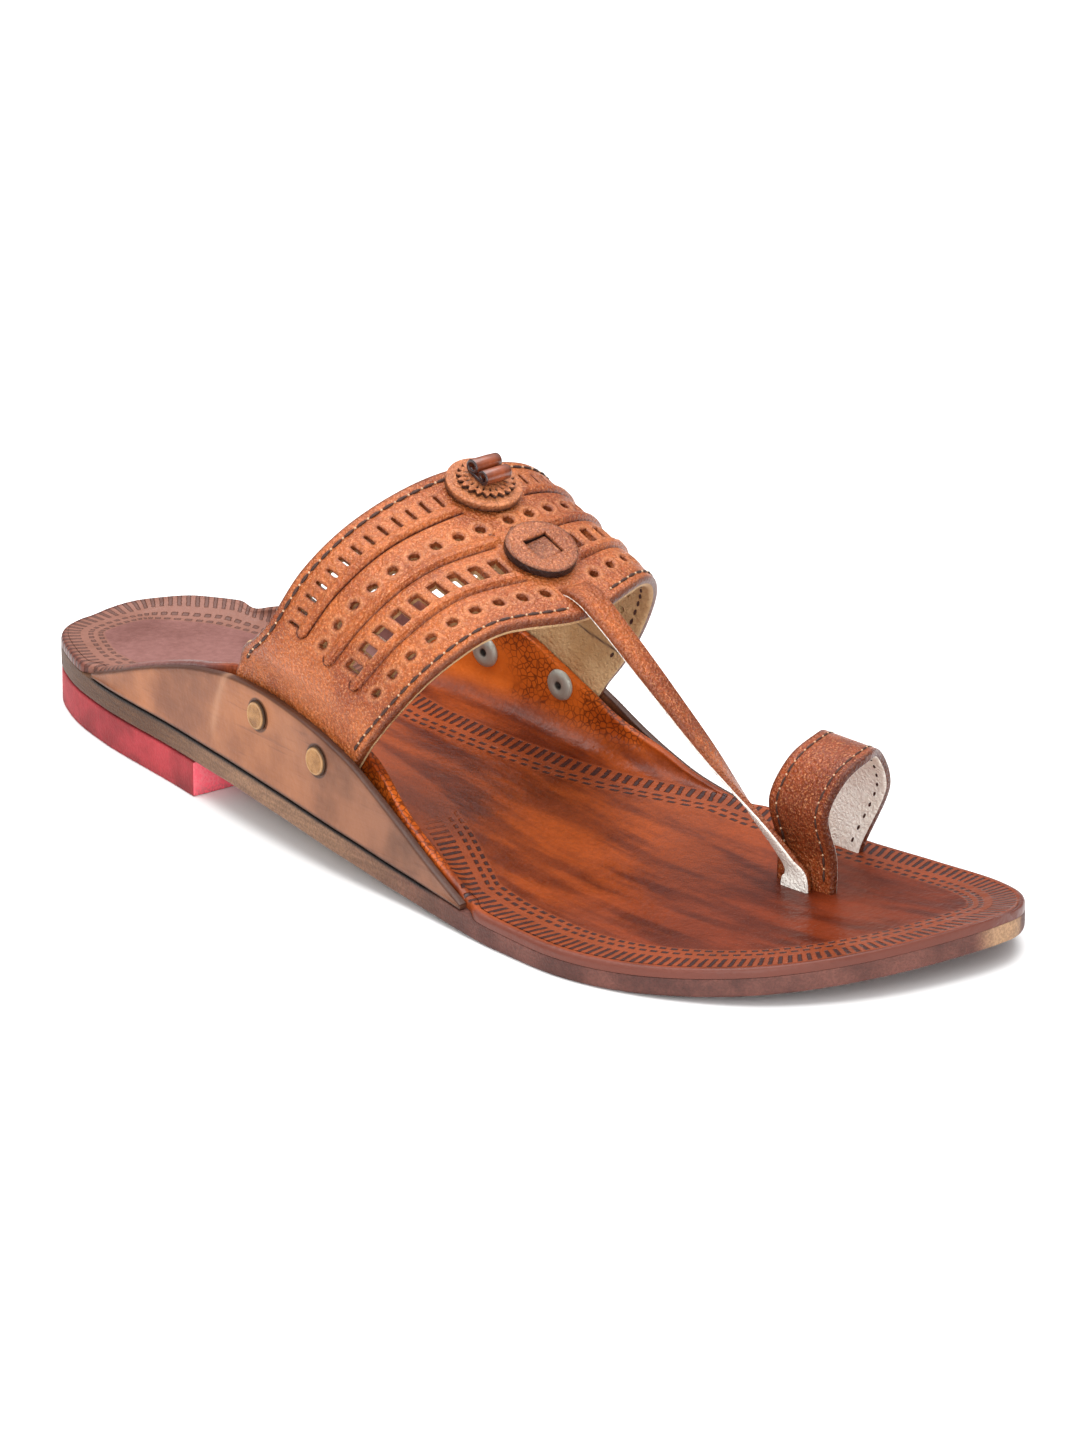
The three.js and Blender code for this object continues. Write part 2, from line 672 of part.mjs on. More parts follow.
// The strap comes up through the band near its front edge, runs over that edge and down to the toes,
// turning a quarter on the way, so that it enters the footbed with its face to the big toe
function makeStrap() {
  const off = strapSlot.off * halfArc[MEDIAL];
  const around = aroundAt(off);
  const footY = strapCentre();
  const footX = strapFoot.out * halfBall;
  const footTop = footbedTopAt(footY);
  const half = strapLeather / 2;
  const over = bandPoint(around, 1, half);
  const foot = new THREE.Vector3(footX, footY, footTop);
  const bow = new THREE.Vector3(strapBelly.out, strapBelly.forwards, strapBelly.up);
  const belly = over.clone().lerp(foot, strapBelly.along).add(bow);
  const path = new THREE.CatmullRomCurve3(
    [
      bandPoint(around, strapSlot.across - 0.03, -bandLeather * 0.7),
      bandPoint(around, strapSlot.across + 0.03, 0),
      bandPoint(around, strapSlot.across + 0.09, half),
      over,
      belly,
      foot.clone().add(new THREE.Vector3(0, 0, 2 * strapLeather)),
      foot,
    ],
    false,
    'centripetal',
  );
  const section = (centre, tangent, turn, width) => {
    const level = new THREE.Vector3(1, 0, 0);
    level.addScaledVector(tangent, -level.dot(tangent)).normalize();
    const upright = level.clone().cross(tangent);
    const wide = level.multiplyScalar(Math.cos(turn)).addScaledVector(upright, Math.sin(turn));
    const face = wide.clone().cross(tangent);
    const point = (w, f) => centre.clone().addScaledVector(wide, (w * width) / 2).addScaledVector(face, f * half);
    return [point(-1, -1), point(1, -1), point(1, 0.4), point(0.9, 1), point(-0.9, 1), point(-1, 0.4)];
  };
  const rings = [];
  const steps = 24;
  for (let i = 0; i < steps; i += 1) {
    const t = i / steps;
    const turn = (Math.PI / 2) * columnAt(strapRows, 'turn', t);
    const width = strapWidth * columnAt(strapRows, 'width', t);
    rings.push(section(path.getPointAt(t), path.getTangentAt(t), turn, width));
  }
  const down = new THREE.Vector3(0, 0, -1);
  rings.push(section(foot, down, Math.PI / 2, strapWidth));
  const bottom = new THREE.Vector3(footX, footY, soleTopAt(footY) + 2 * clearance);
  rings.push(section(bottom, down, Math.PI / 2, strapWidth));
  return loft(rings);
}

function makeUpper() {
  const body = makeBand();
  let holes = null;
  for (const side of [LATERAL, MEDIAL]) {
    for (const row of piercedRows) {
      for (let i = 0; i < row.count; i += 1) {
        const share = mix(row.from, row.to, i / (row.count - 1));
        const off = share * halfArc[side];
        const covered =
          underButton(rearButton, side, off, row.across) +
          underButton(frontButton, side, off, row.across);
        if (covered > 0 || underStrap(side, off, row.across)) continue;
        const hole = piercer(row, side, share);
        holes = holes ? holes.add(hole) : hole;
      }
    }
    for (const row of rivetRows) holes = holes.add(shankHole(side, row));
  }
  return body.subtract(holes).add(makeStrap());
}

// Toe ring

function ringFootPlaces() {
  const half = ringLeather / 2;
  const centreOf = (out, along, inward) => ({
    x: out * halfBall + inward * half,
    y: along * sandalLength - ringWidth / 2,
  });
  return [
    centreOf(ringFeet.medialOut, ringFeet.medialAlong, 1),
    centreOf(ringFeet.lateralOut, ringFeet.lateralAlong, -1),
  ];
}

function makeToeRing() {
  const startX = ringFeet.medialOut * halfBall;
  const startY = ringFeet.medialAlong * sandalLength;
  const spanX = ringFeet.lateralOut * halfBall - startX;
  const spanY = ringFeet.lateralAlong * sandalLength - startY;
  const points = ringRows.map((row) => {
    const y = startY + row.along * spanY;
    const foot = footbedTopAt(startY + THREE.MathUtils.clamp(row.along, 0, 1) * spanY);
    return new THREE.Vector3(startX + row.out * spanX, y, foot + row.up * ringRise);
  });
  const path = new THREE.CatmullRomCurve3(points, false, 'centripetal');
  const back = new THREE.Vector3(0, -ringWidth, 0);
  const section = (front, tangent) => {
    const inward = new THREE.Vector3(tangent.z, 0, -tangent.x).normalize();
    const inner = front.clone().addScaledVector(inward, ringLeather);
    return [front, front.clone().add(back), inner.clone().add(back), inner];
  };
  const rings = [];
  const steps = 30;
  for (let i = 0; i <= steps; i += 1) rings.push(section(path.getPoint(i / steps), path.getTangent(i / steps)));
  const legs = ringFootPlaces().map((foot) => {
    const bottom = soleTopAt(foot.y + ringWidth / 2) + 2 * clearance;
    const top = footbedTopAt(foot.y + ringWidth / 2) + footbedThickness / 2;
    const geometry = new THREE.BoxGeometry(ringLeather, ringWidth, top - bottom);
    geometry.translate(foot.x, foot.y, (top + bottom) / 2);
    return solid(geometry);
  });
  return loft(rings).add(legs[0]).add(legs[1]);
}

// Buttons

function discGeometry(radius, leather, segments) {
  const profile = [
    new THREE.Vector2(0, 0),
    new THREE.Vector2(radius / 2, 0),
    new THREE.Vector2(radius, 0),
    new THREE.Vector2(radius, leather),
    new THREE.Vector2(0, leather),
  ];
  return new THREE.LatheGeometry(profile, segments).rotateX(Math.PI / 2);
}

function makeRearDisc() {
  return solid(onBand(discGeometry(buttonRadius, rearButtonLeather, 24), rearButton, buttonSeat));
}

// A smaller disc with a pinked edge, on top of the rear one
function makePinkedDisc() {
  const geometry = discGeometry(pinkedRadius, pinkedLeather, toothCount * 2);
  reshape(geometry, (corner) => {
    const turn = Math.atan2(corner.y, corner.x);
    const tooth = Math.hypot(corner.x, corner.y) > pinkedRadius * 0.9 ? 1 + 0.07 * Math.cos(turn * toothCount) : 1;
    return new THREE.Vector3(corner.x * tooth, corner.y * tooth, corner.z);
  });
  return solid(onBand(geometry, rearButton, buttonSeat + rearButtonLeather + clearance));
}

// A strip with both ends curled inwards, seen from its end
function rollShape() {
  const half = rollLeather / 2;
  const centre = rollRadius + rollLeather / 3;
  const line = [];
  const curl = (x, radius, from, to) => {
    for (let i = 0; i <= 12; i += 1) {
      const a = THREE.MathUtils.degToRad(mix(from, to, i / 12));
      line.push(new THREE.Vector2(x + radius * Math.cos(a), half + radius + radius * Math.sin(a)));
    }
  };
  curl(-centre, rollRadius, 35, 270);
  curl(centre, rollRadius * 0.9, -90, 140);
  const offset = (distance) =>
    line.map((point, i) => {
      const next = line[Math.min(i + 1, line.length - 1)];
      const last = line[Math.max(i - 1, 0)];
      const along = next.clone().sub(last).normalize();
      return new THREE.Vector2(point.x - along.y * distance, point.y + along.x * distance);
    });
  return new THREE.Shape([...offset(half), ...offset(-half).reverse()]);
}

function makeRoll() {
  const geometry = new THREE.ExtrudeGeometry(rollShape(), { depth: rollLength, bevelEnabled: false });
  geometry.translate(0, 0, -rollLength / 2);
  const turned = reshape(geometry, (corner) => new THREE.Vector3(corner.z, corner.x, corner.y));
  return solid(onBand(turned, rearButton, buttonSeat + rearButtonLeather + pinkedLeather + 2 * clearance));
}

function makeFrontDisc() {
  const disc = solid(onBand(discGeometry(buttonRadius, frontButtonLeather, 24), frontButton, buttonSeat));
  const room = 2 * clearance;
  const opening = new THREE.BoxGeometry(tabSize + room, tabSize + room, 4 * frontButtonLeather, 2, 2, 1);
  return disc.subtract(solid(onBand(opening, frontButton, frontButtonLeather)));
}

function makeFrontTab() {
  const tab = new THREE.BoxGeometry(tabSize, tabSize, tabLeather, 2, 2, 1);
  tab.translate(0, 0, tabLeather / 2);
  return solid(onBand(tab, frontButton, buttonSeat));
}

// Rivets

function rivetFrame(side, row) {
  const y = row.along * sandalLength;
  const height = earRise * (side === LATERAL ? row.lateral : row.medial);
  const face = (dy, dh) => new THREE.Vector3(side * earFaceAt(side, y + dy, height + dh), y + dy, soleTopAt(y) + height + dh);
  const alongFoot = face(1, 0).sub(face(-1, 0));
  const upwards = face(0, 1).sub(face(0, -1));
  const out = alongFoot.cross(upwards).multiplyScalar(side).normalize();
  const sideways = new THREE.Vector3(0, 0, 1).cross(out).normalize();
  return new THREE.Matrix4().makeBasis(sideways, out.clone().cross(sideways), out).setPosition(face(0, 0));
}

const stackDepth = earLeather + bandLeather + footbedThickness + 2 * clearance;

function makeRivet(side, row) {
  const back = -stackDepth - clearance;
  const dimple = shankRadius * 0.7;
  const profile = [
    [0, clearance + rivetHeadHeight],
    [rivetHeadRadius * 0.75, clearance + rivetHeadHeight * 0.75],
    [rivetHeadRadius, clearance],
    [shankRadius, clearance],
    [shankRadius, back],
    [washerRadius, back],
    [washerRadius * 0.75, back - washerHeight],
    [dimple, back - washerHeight],
    [dimple * 0.8, back - washerHeight * 0.4],
    [0, back - washerHeight * 0.4],
  ].map(([radius, height]) => new THREE.Vector2(radius, height));
  const geometry = new THREE.LatheGeometry(profile, 12).rotateX(Math.PI / 2);
  return solid(geometry.applyMatrix4(rivetFrame(side, row)));
}

function shankHole(side, row) {
  const radius = shankRadius + clearance;
  const geometry = new THREE.CylinderGeometry(radius, radius, 3 * stackDepth, 12).rotateX(Math.PI / 2);
  return solid(geometry.applyMatrix4(rivetFrame(side, row)));
}

function pierceForRivets(body, sides) {
  let pierced = body;
  for (const side of sides) {
    for (const row of rivetRows) pierced = pierced.subtract(shankHole(side, row));
  }
  return pierced;
}

// Assembly, with the origin on the floor under the middle of the sandal

const group = new THREE.Group();
const left = outlinePoints.reduce((low, point) => Math.min(low, point.x), 0);
const right = outlinePoints.reduce((high, point) => Math.max(high, point.x), 0);
group.position.set(-(left + right) / 2, -tipAlong / 2, 0);

function addPiece(name, body, finish) {
  const mesh = new THREE.Mesh(geometryOf(body), new THREE.MeshStandardMaterial(leathers[finish]));
  mesh.name = name;
  group.add(mesh);
}

addPiece('heel_block', makeHeelBlock(), 'heel');
addPiece('outsole', makeOutsole(), 'sole');
addPiece('footbed', pierceForRivets(makeFootbed(), [LATERAL, MEDIAL]), 'footbed');
addPiece('ear_outer_lateral', pierceForRivets(makeOuterEar(LATERAL), [LATERAL]), 'ear');
addPiece('ear_outer_medial', pierceForRivets(makeOuterEar(MEDIAL), [MEDIAL]), 'ear');
addPiece('upper', makeUpper(), 'band');
addPiece('toe_ring', makeToeRing(), 'ring');
addPiece('button_rear_disc', makeRearDisc(), 'button');
addPiece('button_rear_pinked_disc', makePinkedDisc(), 'button');
addPiece('button_rear_roll', makeRoll(), 'roll');
addPiece('button_front_disc', makeFrontDisc(), 'button');
addPiece('button_front_tab', makeFrontTab(), 'button');
for (const row of rivetRows) {
  addPiece(`rivet_lateral_${row.name}`, makeRivet(LATERAL, row), 'rivet');
  addPiece(`rivet_medial_${row.name}`, makeRivet(MEDIAL, row), 'rivet');
}

export default group;
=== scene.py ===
import math

import bmesh
import bpy
import numpy as np
from mathutils import Matrix, Vector


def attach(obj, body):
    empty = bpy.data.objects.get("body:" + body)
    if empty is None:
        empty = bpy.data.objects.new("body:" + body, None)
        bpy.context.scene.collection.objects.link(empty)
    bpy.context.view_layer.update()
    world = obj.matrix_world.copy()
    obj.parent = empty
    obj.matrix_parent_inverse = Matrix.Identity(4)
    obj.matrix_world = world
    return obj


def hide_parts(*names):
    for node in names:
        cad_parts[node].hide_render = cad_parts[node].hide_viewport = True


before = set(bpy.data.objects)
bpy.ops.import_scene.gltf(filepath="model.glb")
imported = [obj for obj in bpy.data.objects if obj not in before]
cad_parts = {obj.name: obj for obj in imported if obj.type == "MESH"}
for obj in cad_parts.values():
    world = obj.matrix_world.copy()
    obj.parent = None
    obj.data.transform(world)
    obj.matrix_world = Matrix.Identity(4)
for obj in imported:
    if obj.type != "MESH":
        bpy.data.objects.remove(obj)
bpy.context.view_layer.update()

# Heel block
# One thick lift of red rubber under the back of the sole, cut to its outline and buffed at the
# side. Its breast is cut askew and left raw; the faces that point forward are painted far brighter
# than the side, partly the raw rubber and partly painted light, as the breast stands in shade.

MM = 0.001
LENGTH = 270.0
HALF_BALL = 47.5
HEEL_HEIGHT, HEEL_LENGTH, HEEL_SKEW, HEEL_INSET = 8.7, 74.0, 9.0, 0.1
GAP = 0.3

# along the length, half width outside, half width inside, as shares
OUTLINE = [
    (0.010, 0.25, 0.25), (0.056, 0.43, 0.47), (0.125, 0.56, 0.64), (0.240, 0.68, 0.735),
    (0.354, 0.81, 0.80), (0.470, 0.90, 0.85), (0.585, 0.94, 0.89), (0.700, 1.00, 0.94),
    (0.776, 1.00, 0.98), (0.850, 0.87, 1.00), (0.925, 0.575, 0.954), (0.972, 0.17, 0.83),
    (0.998, -0.37, 0.64),
]


def flowing_line(points, closed, shares):
    """Points at the given shares of a curve that flows through the given ones."""
    p = np.asarray(points, float)
    n = len(p)
    place = np.asarray(shares, float) * (n if closed else n - 1)
    i = np.floor(place).astype(int)
    if not closed:
        i = np.minimum(i, n - 2)
    w = (place - i)[:, None]
    if closed:
        a, b, c, d = p[(i - 1) % n], p[i % n], p[(i + 1) % n], p[(i + 2) % n]
    else:
        q = np.vstack([2 * p[0] - p[1], p, 2 * p[-1] - p[-2]])
        a, b, c, d = q[i], q[i + 1], q[i + 2], q[i + 3]
    pace = [np.sqrt(np.linalg.norm(y - x, axis=1, keepdims=True)) for x, y in ((a, b), (b, c), (c, d))]
    leave = ((b - a) / pace[0] - (c - a) / (pace[0] + pace[1]) + (c - b) / pace[1]) * pace[1]
    reach = ((c - b) / pace[1] - (d - b) / (pace[1] + pace[2]) + (d - c) / pace[2]) * pace[1]
    turn = -3 * b + 3 * c - 2 * leave - reach
    return b + leave * w + turn * w ** 2 + (2 * b - 2 * c + leave + reach) * w ** 3


outline_points = [(0.0, 0.0)]
outline_points += [(row[1] * HALF_BALL, row[0] * LENGTH) for row in OUTLINE]
outline_points += [(-row[2] * HALF_BALL, row[0] * LENGTH) for row in reversed(OUTLINE)]
outline = flowing_line(outline_points, True, np.linspace(0, 1, 2161)[:-1])
tip = int(np.argmax(outline[:, 1]))
TIP = outline[tip, 1]
MIDDLE = np.array([(outline[:, 0].min() + outline[:, 0].max()) / 2, TIP / 2, 0.0])
side_lines = {1: outline[:tip + 1], -1: np.vstack([outline[:1], outline[tip:][::-1]])}


def edge_at(side, y):
    """How far the sole reaches out on one side of the straight line through the heel."""
    line = side_lines[side]
    return side * np.interp(y, line[:, 1], line[:, 0])


def ease(start, end, value):
    t = np.clip((np.asarray(value, float) - start) / (end - start), 0, 1)
    return t * t * (3 - 2 * t)


def mesh_piece(name, mesh):
    piece = bpy.data.objects.new(name, mesh)
    bpy.context.collection.objects.link(piece)
    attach(piece, "root")
    return piece


def read_places(mesh):
    places = np.empty(len(mesh.vertices) * 3)
    mesh.vertices.foreach_get("co", places)
    return places.reshape(-1, 3)


def set_places(mesh, places):
    """Puts a mesh where the given places are, which are in millimetres from the back of the heel."""
    mesh.vertices.foreach_set("co", ((np.asarray(places) - MIDDLE) * MM).ravel())
    mesh.update()


def smooth_all(bm, sharp):
    """Smooths all faces, and leaves the edges sharper than the given degrees as they are."""
    for face in bm.faces:
        face.smooth = True
    for edge in bm.edges:
        edge.smooth = edge.calc_face_angle(0.0) < math.radians(sharp)


def close_up(mesh, sharp):
    """Joins the two ends of a wrapped sheet, closes its ends and smooths all but its sharp edges."""
    bm = bmesh.new()
    bm.from_mesh(mesh)
    bmesh.ops.remove_doubles(bm, verts=bm.verts, dist=2e-6)
    bmesh.ops.dissolve_degenerate(bm, dist=1e-7, edges=bm.edges)
    rims = [edge for edge in bm.edges if edge.is_boundary]
    if rims:
        bmesh.ops.holes_fill(bm, edges=rims, sides=0)
    bmesh.ops.recalc_face_normals(bm, faces=bm.faces)
    smooth_all(bm, sharp)
    bm.to_mesh(mesh)
    bm.free()


def lay_values(mesh, layers):
    """Writes a value for each corner of a mesh, under the names that the shaders read."""
    for title, values in layers.items():
        layer = mesh.attributes.new(title, "FLOAT", "POINT")
        layer.data.foreach_set("value", np.asarray(values, float))


heel_mesh = bpy.data.meshes.new("heel_block_shape")
bm = bmesh.new()
bmesh.ops.create_circle(bm, cap_ends=True, segments=160, radius=1.0)
half = np.linspace(0, 1, 72)
heel_line = [(edge_at(1, y) - HEEL_INSET, y) for y in HEEL_LENGTH * (1 - np.cos(half * math.pi / 2))]
heel_line += [(HEEL_INSET - edge_at(-1, y), y) for y in (HEEL_LENGTH + HEEL_SKEW)
              * (1 - np.cos(half[::-1] * math.pi / 2))]
heel_line[0] = heel_line[-1] = (0.0, HEEL_INSET)
heel_line = heel_line[:-1]
breast = np.linspace(0, 1, 160 - len(heel_line) + 2)[1:-1]
right_corner, left_corner = np.array(heel_line[71]), np.array(heel_line[72])
heel_line[72:72] = [tuple(right_corner + (left_corner - right_corner) * t) for t in breast]
heel_line = np.array(heel_line)
for vert, (x, y) in zip(bm.verts, heel_line):
    vert.co = Vector((x - MIDDLE[0], y - MIDDLE[1], 0.0)) * MM
grown = bmesh.ops.extrude_face_region(bm, geom=bm.faces[:])
top = [item for item in grown["geom"] if isinstance(item, bmesh.types.BMVert)]
bmesh.ops.translate(bm, verts=top, vec=(0, 0, (HEEL_HEIGHT - GAP) * MM))
bmesh.ops.recalc_face_normals(bm, faces=bm.faces)
rims = [edge for edge in bm.edges if edge.calc_face_angle(0.0) > math.radians(50)]
bmesh.ops.bevel(bm, geom=rims, offset=0.5 * MM, offset_type="OFFSET", segments=3, profile=0.5,
                affect="EDGES", material=-1)
smooth_all(bm, 35)
bm.to_mesh(heel_mesh)
bm.free()
heel_block = mesh_piece("heel_block_red", heel_mesh)
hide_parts("heel_block")


def new_group(name, inputs, outputs):
    tree = bpy.data.node_groups.new(name, "ShaderNodeTree")
    for title, kind, value in inputs:
        socket = tree.interface.new_socket(title, in_out="INPUT", socket_type=kind)
        socket.default_value = value
    for title, kind in outputs:
        tree.interface.new_socket(title, in_out="OUTPUT", socket_type=kind)
    return tree, tree.nodes.new("NodeGroupInput"), tree.nodes.new("NodeGroupOutput")


def add(tree, kind, *sources, **settings):
    """One shader node with its settings, fed in order by values, colours or other sockets."""
    node = tree.nodes.new("ShaderNode" + kind)
    for key, value in settings.items():
        setattr(node, key, value)
    for socket, source in zip(node.inputs, sources):
        if source is None:
            continue
        if isinstance(source, bpy.types.NodeSocket):
            tree.links.new(source, socket)
        else:
            socket.default_value = source
    return node


def maths(tree, operation, *sources):
    return add(tree, "Math", *sources, operation=operation).outputs[0]


def times(tree, *sources):
    return maths(tree, "MULTIPLY", *sources)


def plus(tree, *sources):
    return maths(tree, "ADD", *sources)


def layer_of(tree, title):
    """The values that lay_values wrote on a mesh under this name."""
    return add(tree, "Attribute", attribute_name=title).outputs["Fac"]


def noise(tree, source, scale, detail=2.0):
    node = add(tree, "TexNoise", source)
    node.inputs["Scale"].default_value = scale
    node.inputs["Detail"].default_value = detail
    return node


def stretch(tree, source, scale, turn=(0.0, 0.0, 0.0)):
    """Draws a pattern out or together along the three ways, after a turn."""
    node = add(tree, "Mapping", source)
    node.inputs["Scale"].default_value = scale
    node.inputs["Rotation"].default_value = turn
    return node.outputs[0]


def blend_colours(tree, share, first, second, mode="MIX"):
    node = tree.nodes.new("ShaderNodeMix")
    node.data_type = "RGBA"
    node.blend_type = mode
    for socket, source in ((node.inputs[0], share), (node.inputs[6], first), (node.inputs[7], second)):
        if isinstance(source, bpy.types.NodeSocket):
            tree.links.new(source, socket)
        elif isinstance(source, tuple) and len(source) == 3:
            socket.default_value = (*source, 1.0)
        else:
            socket.default_value = source
    return node.outputs[2]


def band_of(tree, value, low, high, out_low=0.0, out_high=1.0):
    node = tree.nodes.new("ShaderNodeMapRange")
    node.interpolation_type = "SMOOTHSTEP"
    tree.links.new(value, node.inputs[0])
    for index, number in ((1, low), (2, high), (3, out_low), (4, out_high)):
        node.inputs[index].default_value = number
    return node.outputs[0]


def paint(red, green, blue):
    """A colour as seen on screen, turned into the light that the shader reckons with."""
    return tuple((c / 255 / 12.92) if c <= 10 else ((c / 255 + 0.055) / 1.055) ** 2.4
                 for c in (red, green, blue))


# Mottling: two scales of cloud and a fine fleck, from 0 to 1, for dye that took unevenly
mottling, given, made = new_group(
    "mottling", [("Vector", "NodeSocketVector", (0, 0, 0)), ("Scale", "NodeSocketFloat", 1.0)],
    [("Cloud", "NodeSocketFloat"), ("Fleck", "NodeSocketFloat")])
placed = add(mottling, "VectorMath", given.outputs[0], None, operation="SCALE")
mottling.links.new(given.outputs[1], placed.inputs["Scale"])
wide = noise(mottling, placed.outputs[0], 45.0, 4.0)
wide.inputs["Roughness"].default_value = 0.6
fine = noise(mottling, placed.outputs[0], 900.0)
mottling.links.new(band_of(mottling, wide.outputs[0], 0.32, 0.68), made.inputs[0])
mottling.links.new(band_of(mottling, fine.outputs[0], 0.35, 0.65), made.inputs[1])


def mottled(tree, where, scale):
    """The mottling at one scale: output 0 is the cloud, output 1 the fleck."""
    group = tree.nodes.new("ShaderNodeGroup")
    group.node_tree = mottling
    tree.links.new(where, group.inputs[0])
    group.inputs[1].default_value = scale
    return group


def shader_of(name, colour, roughness=0.5, metallic=0.0, coat=0.0, specular=0.5):
    """A bare material for one finish, with its shader's own plain values."""
    material = bpy.data.materials.new(name)
    material.use_nodes = True
    tree = material.node_tree
    shader = tree.nodes["Principled BSDF"]
    shader.inputs["Base Color"].default_value = (*colour, 1.0)
    shader.inputs["Roughness"].default_value = roughness
    shader.inputs["Metallic"].default_value = metallic
    shader.inputs["Coat Weight"].default_value = coat
    shader.inputs["Coat Roughness"].default_value = 0.25
    shader.inputs["Specular IOR Level"].default_value = specular
    return material, tree, shader


def bump_from(tree, shader, height, depth_mm, strength=1.0):
    """Raises or sinks the surface by a height of 0 to 1 times a depth in millimetres."""
    bump = tree.nodes.new("ShaderNodeBump")
    bump.inputs["Strength"].default_value = strength
    bump.inputs["Distance"].default_value = depth_mm * MM
    tree.links.new(height, bump.inputs["Height"])
    tree.links.new(bump.outputs[0], shader.inputs["Normal"])
    return bump


red_rubber, tree, shader = shader_of("red_rubber", paint(168, 62, 66), roughness=0.72, specular=0.3)
where = add(tree, "TexCoord").outputs["Object"]
clouds = mottled(tree, where, 1.6)
split = add(tree, "SeparateXYZ", where)
facing = add(tree, "NewGeometry").outputs["Normal"]
forward = add(tree, "SeparateXYZ", facing).outputs[1]
side_red = blend_colours(tree, clouds.outputs[0], paint(134, 44, 48), paint(178, 60, 66))
# Painted light: forward-facing faces get a far brighter red, partly raw rubber, partly painted light on a
# breast in shade.
raw_breast_with_painted_light = blend_colours(tree, clouds.outputs[1], paint(246, 100, 116), paint(255, 122, 134))
red = blend_colours(tree, band_of(tree, forward, 0.5, 0.8), side_red, raw_breast_with_painted_light)
# Dark flecks, thicker towards the bottom of the block.
dark_flecks_low = times(tree, clouds.outputs[1], band_of(tree, split.outputs[2], 0.0, 0.003, 0.5, 0.12))
tree.links.new(blend_colours(tree, dark_flecks_low, red, paint(92, 40, 40)), shader.inputs["Base Color"])
bump_from(tree, shader, clouds.outputs[1], 0.06)
heel_block.data.materials.append(red_rubber)

# Outsole
# A single thick slab of vegetable-tanned sole leather with a waist, an arch and a toe that
# springs up. Its edge is rasped and burnished dark, and the underside is plain.

SOLE_LEATHER, TOE_SPRING, FLAT_END = 5.3, 6.0, 0.778
EAR_START, EAR_END = 0.105 * LENGTH, 0.65 * LENGTH
# along, underside as a share of the heel's height, thickness as a share of the leather
SOLE = np.array([
    (0.00, 1.00, 1.00), (0.32, 1.00, 1.00), (0.40, 0.88, 1.02), (0.50, 0.56, 1.04), (0.57, 0.27, 1.02),
    (0.64, 0.08, 0.95), (0.69, 0.00, 0.87), (0.76, 0.00, 0.80), (1.00, 0.00, 0.80),
])


def column_at(rows, column, along):
    """Smooth value of a table's column, with no overshoot between its rows."""
    x, y = rows[:, 0], rows[:, column]
    rate = np.diff(y) / np.diff(x)
    slope = np.empty(len(x))
    slope[0], slope[-1] = rate[0], rate[-1]
    both = rate[:-1] * rate[1:]
    slope[1:-1] = np.where(both <= 0, 0, 2 * both / np.where(both <= 0, 1, rate[:-1] + rate[1:]))
    place = np.clip(along, x[0], x[-1])
    i = np.clip(np.searchsorted(x, place, side="left") - 1, 0, len(x) - 2)
    gap = x[i + 1] - x[i]
    t = (place - x[i]) / gap
    lift = t * t * (3 - 2 * t)
    leave = t * (1 - t) ** 2 * slope[i] * gap
    arrive = t * t * (1 - t) * slope[i + 1] * gap
    return y[i] + (y[i + 1] - y[i]) * lift + leave - arrive


def underside_at(y):
    along = np.asarray(y) / LENGTH
    spring = np.maximum(0, (along - FLAT_END) / (1 - FLAT_END))
    return HEEL_HEIGHT * column_at(SOLE, 1, along) + TOE_SPRING * spring ** 2


def sole_top_at(y):
    return underside_at(y) + SOLE_LEATHER * column_at(SOLE, 2, np.asarray(y) / LENGTH)


def flat_sheet(name, across, along):
    """A flat grid for a leather sheet, with the share across and along of each of its corners."""
    bm = bmesh.new()
    bmesh.ops.create_grid(bm, x_segments=across, y_segments=along, size=0.5)
    mesh = bpy.data.meshes.new(name)
    bm.to_mesh(mesh)
    bm.free()
    places = read_places(mesh)
    return mesh, places[:, 0] + 0.5, places[:, 1] + 0.5


def seam_spaced(share, start, end):
    """Places from start to end that lie closer together near both ends."""
    return start + (end - start) * (1 - np.cos(np.pi * share)) / 2


def along_profile(rows, share):
    """Places on a closed or open profile of rows of points, one row for each corner of the sheet."""
    steps = rows.shape[1] - 1
    place = np.clip(share * steps, 0, steps)
    i = np.minimum(place.astype(int), steps - 1)
    w = (place - i)[:, None]
    index = np.arange(len(share))
    return rows[index, i] * (1 - w) + rows[index, i + 1] * w


sole_mesh, around, along = flat_sheet("outsole_shape", 64, 300)
y = seam_spaced(along, 0.27, TIP - 0.27)
left, right = -edge_at(-1, y), edge_at(1, y)
low, high = underside_at(y), sole_top_at(y)
corner = np.minimum(0.9, (right - left) / 5)
crisp = 0.2 * corner
# corners of the section as shares: side, how far in, how far up from the underside
quarter = np.linspace(0, np.pi / 2, 6)
profile = []
for step in np.linspace(0, 1, 18):
    profile.append((left + corner + (right - left - 2 * corner) * step, low))
for a in quarter[1:]:
    profile.append((right - corner + corner * np.sin(a), low + corner - corner * np.cos(a)))
for step in (0.25, 0.5, 0.75):
    profile.append((right, low + corner + (high - low - 1.2 * corner) * step))
for a in quarter:
    profile.append((right - crisp + crisp * np.cos(a), high - crisp + crisp * np.sin(a)))
for step in np.linspace(0, 1, 14)[1:-1]:
    profile.append((right - crisp - (right - left - 2 * crisp) * step, high))
for a in quarter[::-1]:
    profile.append((left + crisp - crisp * np.cos(a), high - crisp + crisp * np.sin(a)))
for step in (0.75, 0.5, 0.25):
    profile.append((left, low + corner + (high - low - 1.2 * corner) * step))
for a in quarter[::-1]:
    profile.append((left + corner - corner * np.sin(a), low + corner - corner * np.cos(a)))
rows = np.stack([np.stack(point, -1) for point in profile], 1)
section = along_profile(rows, around)
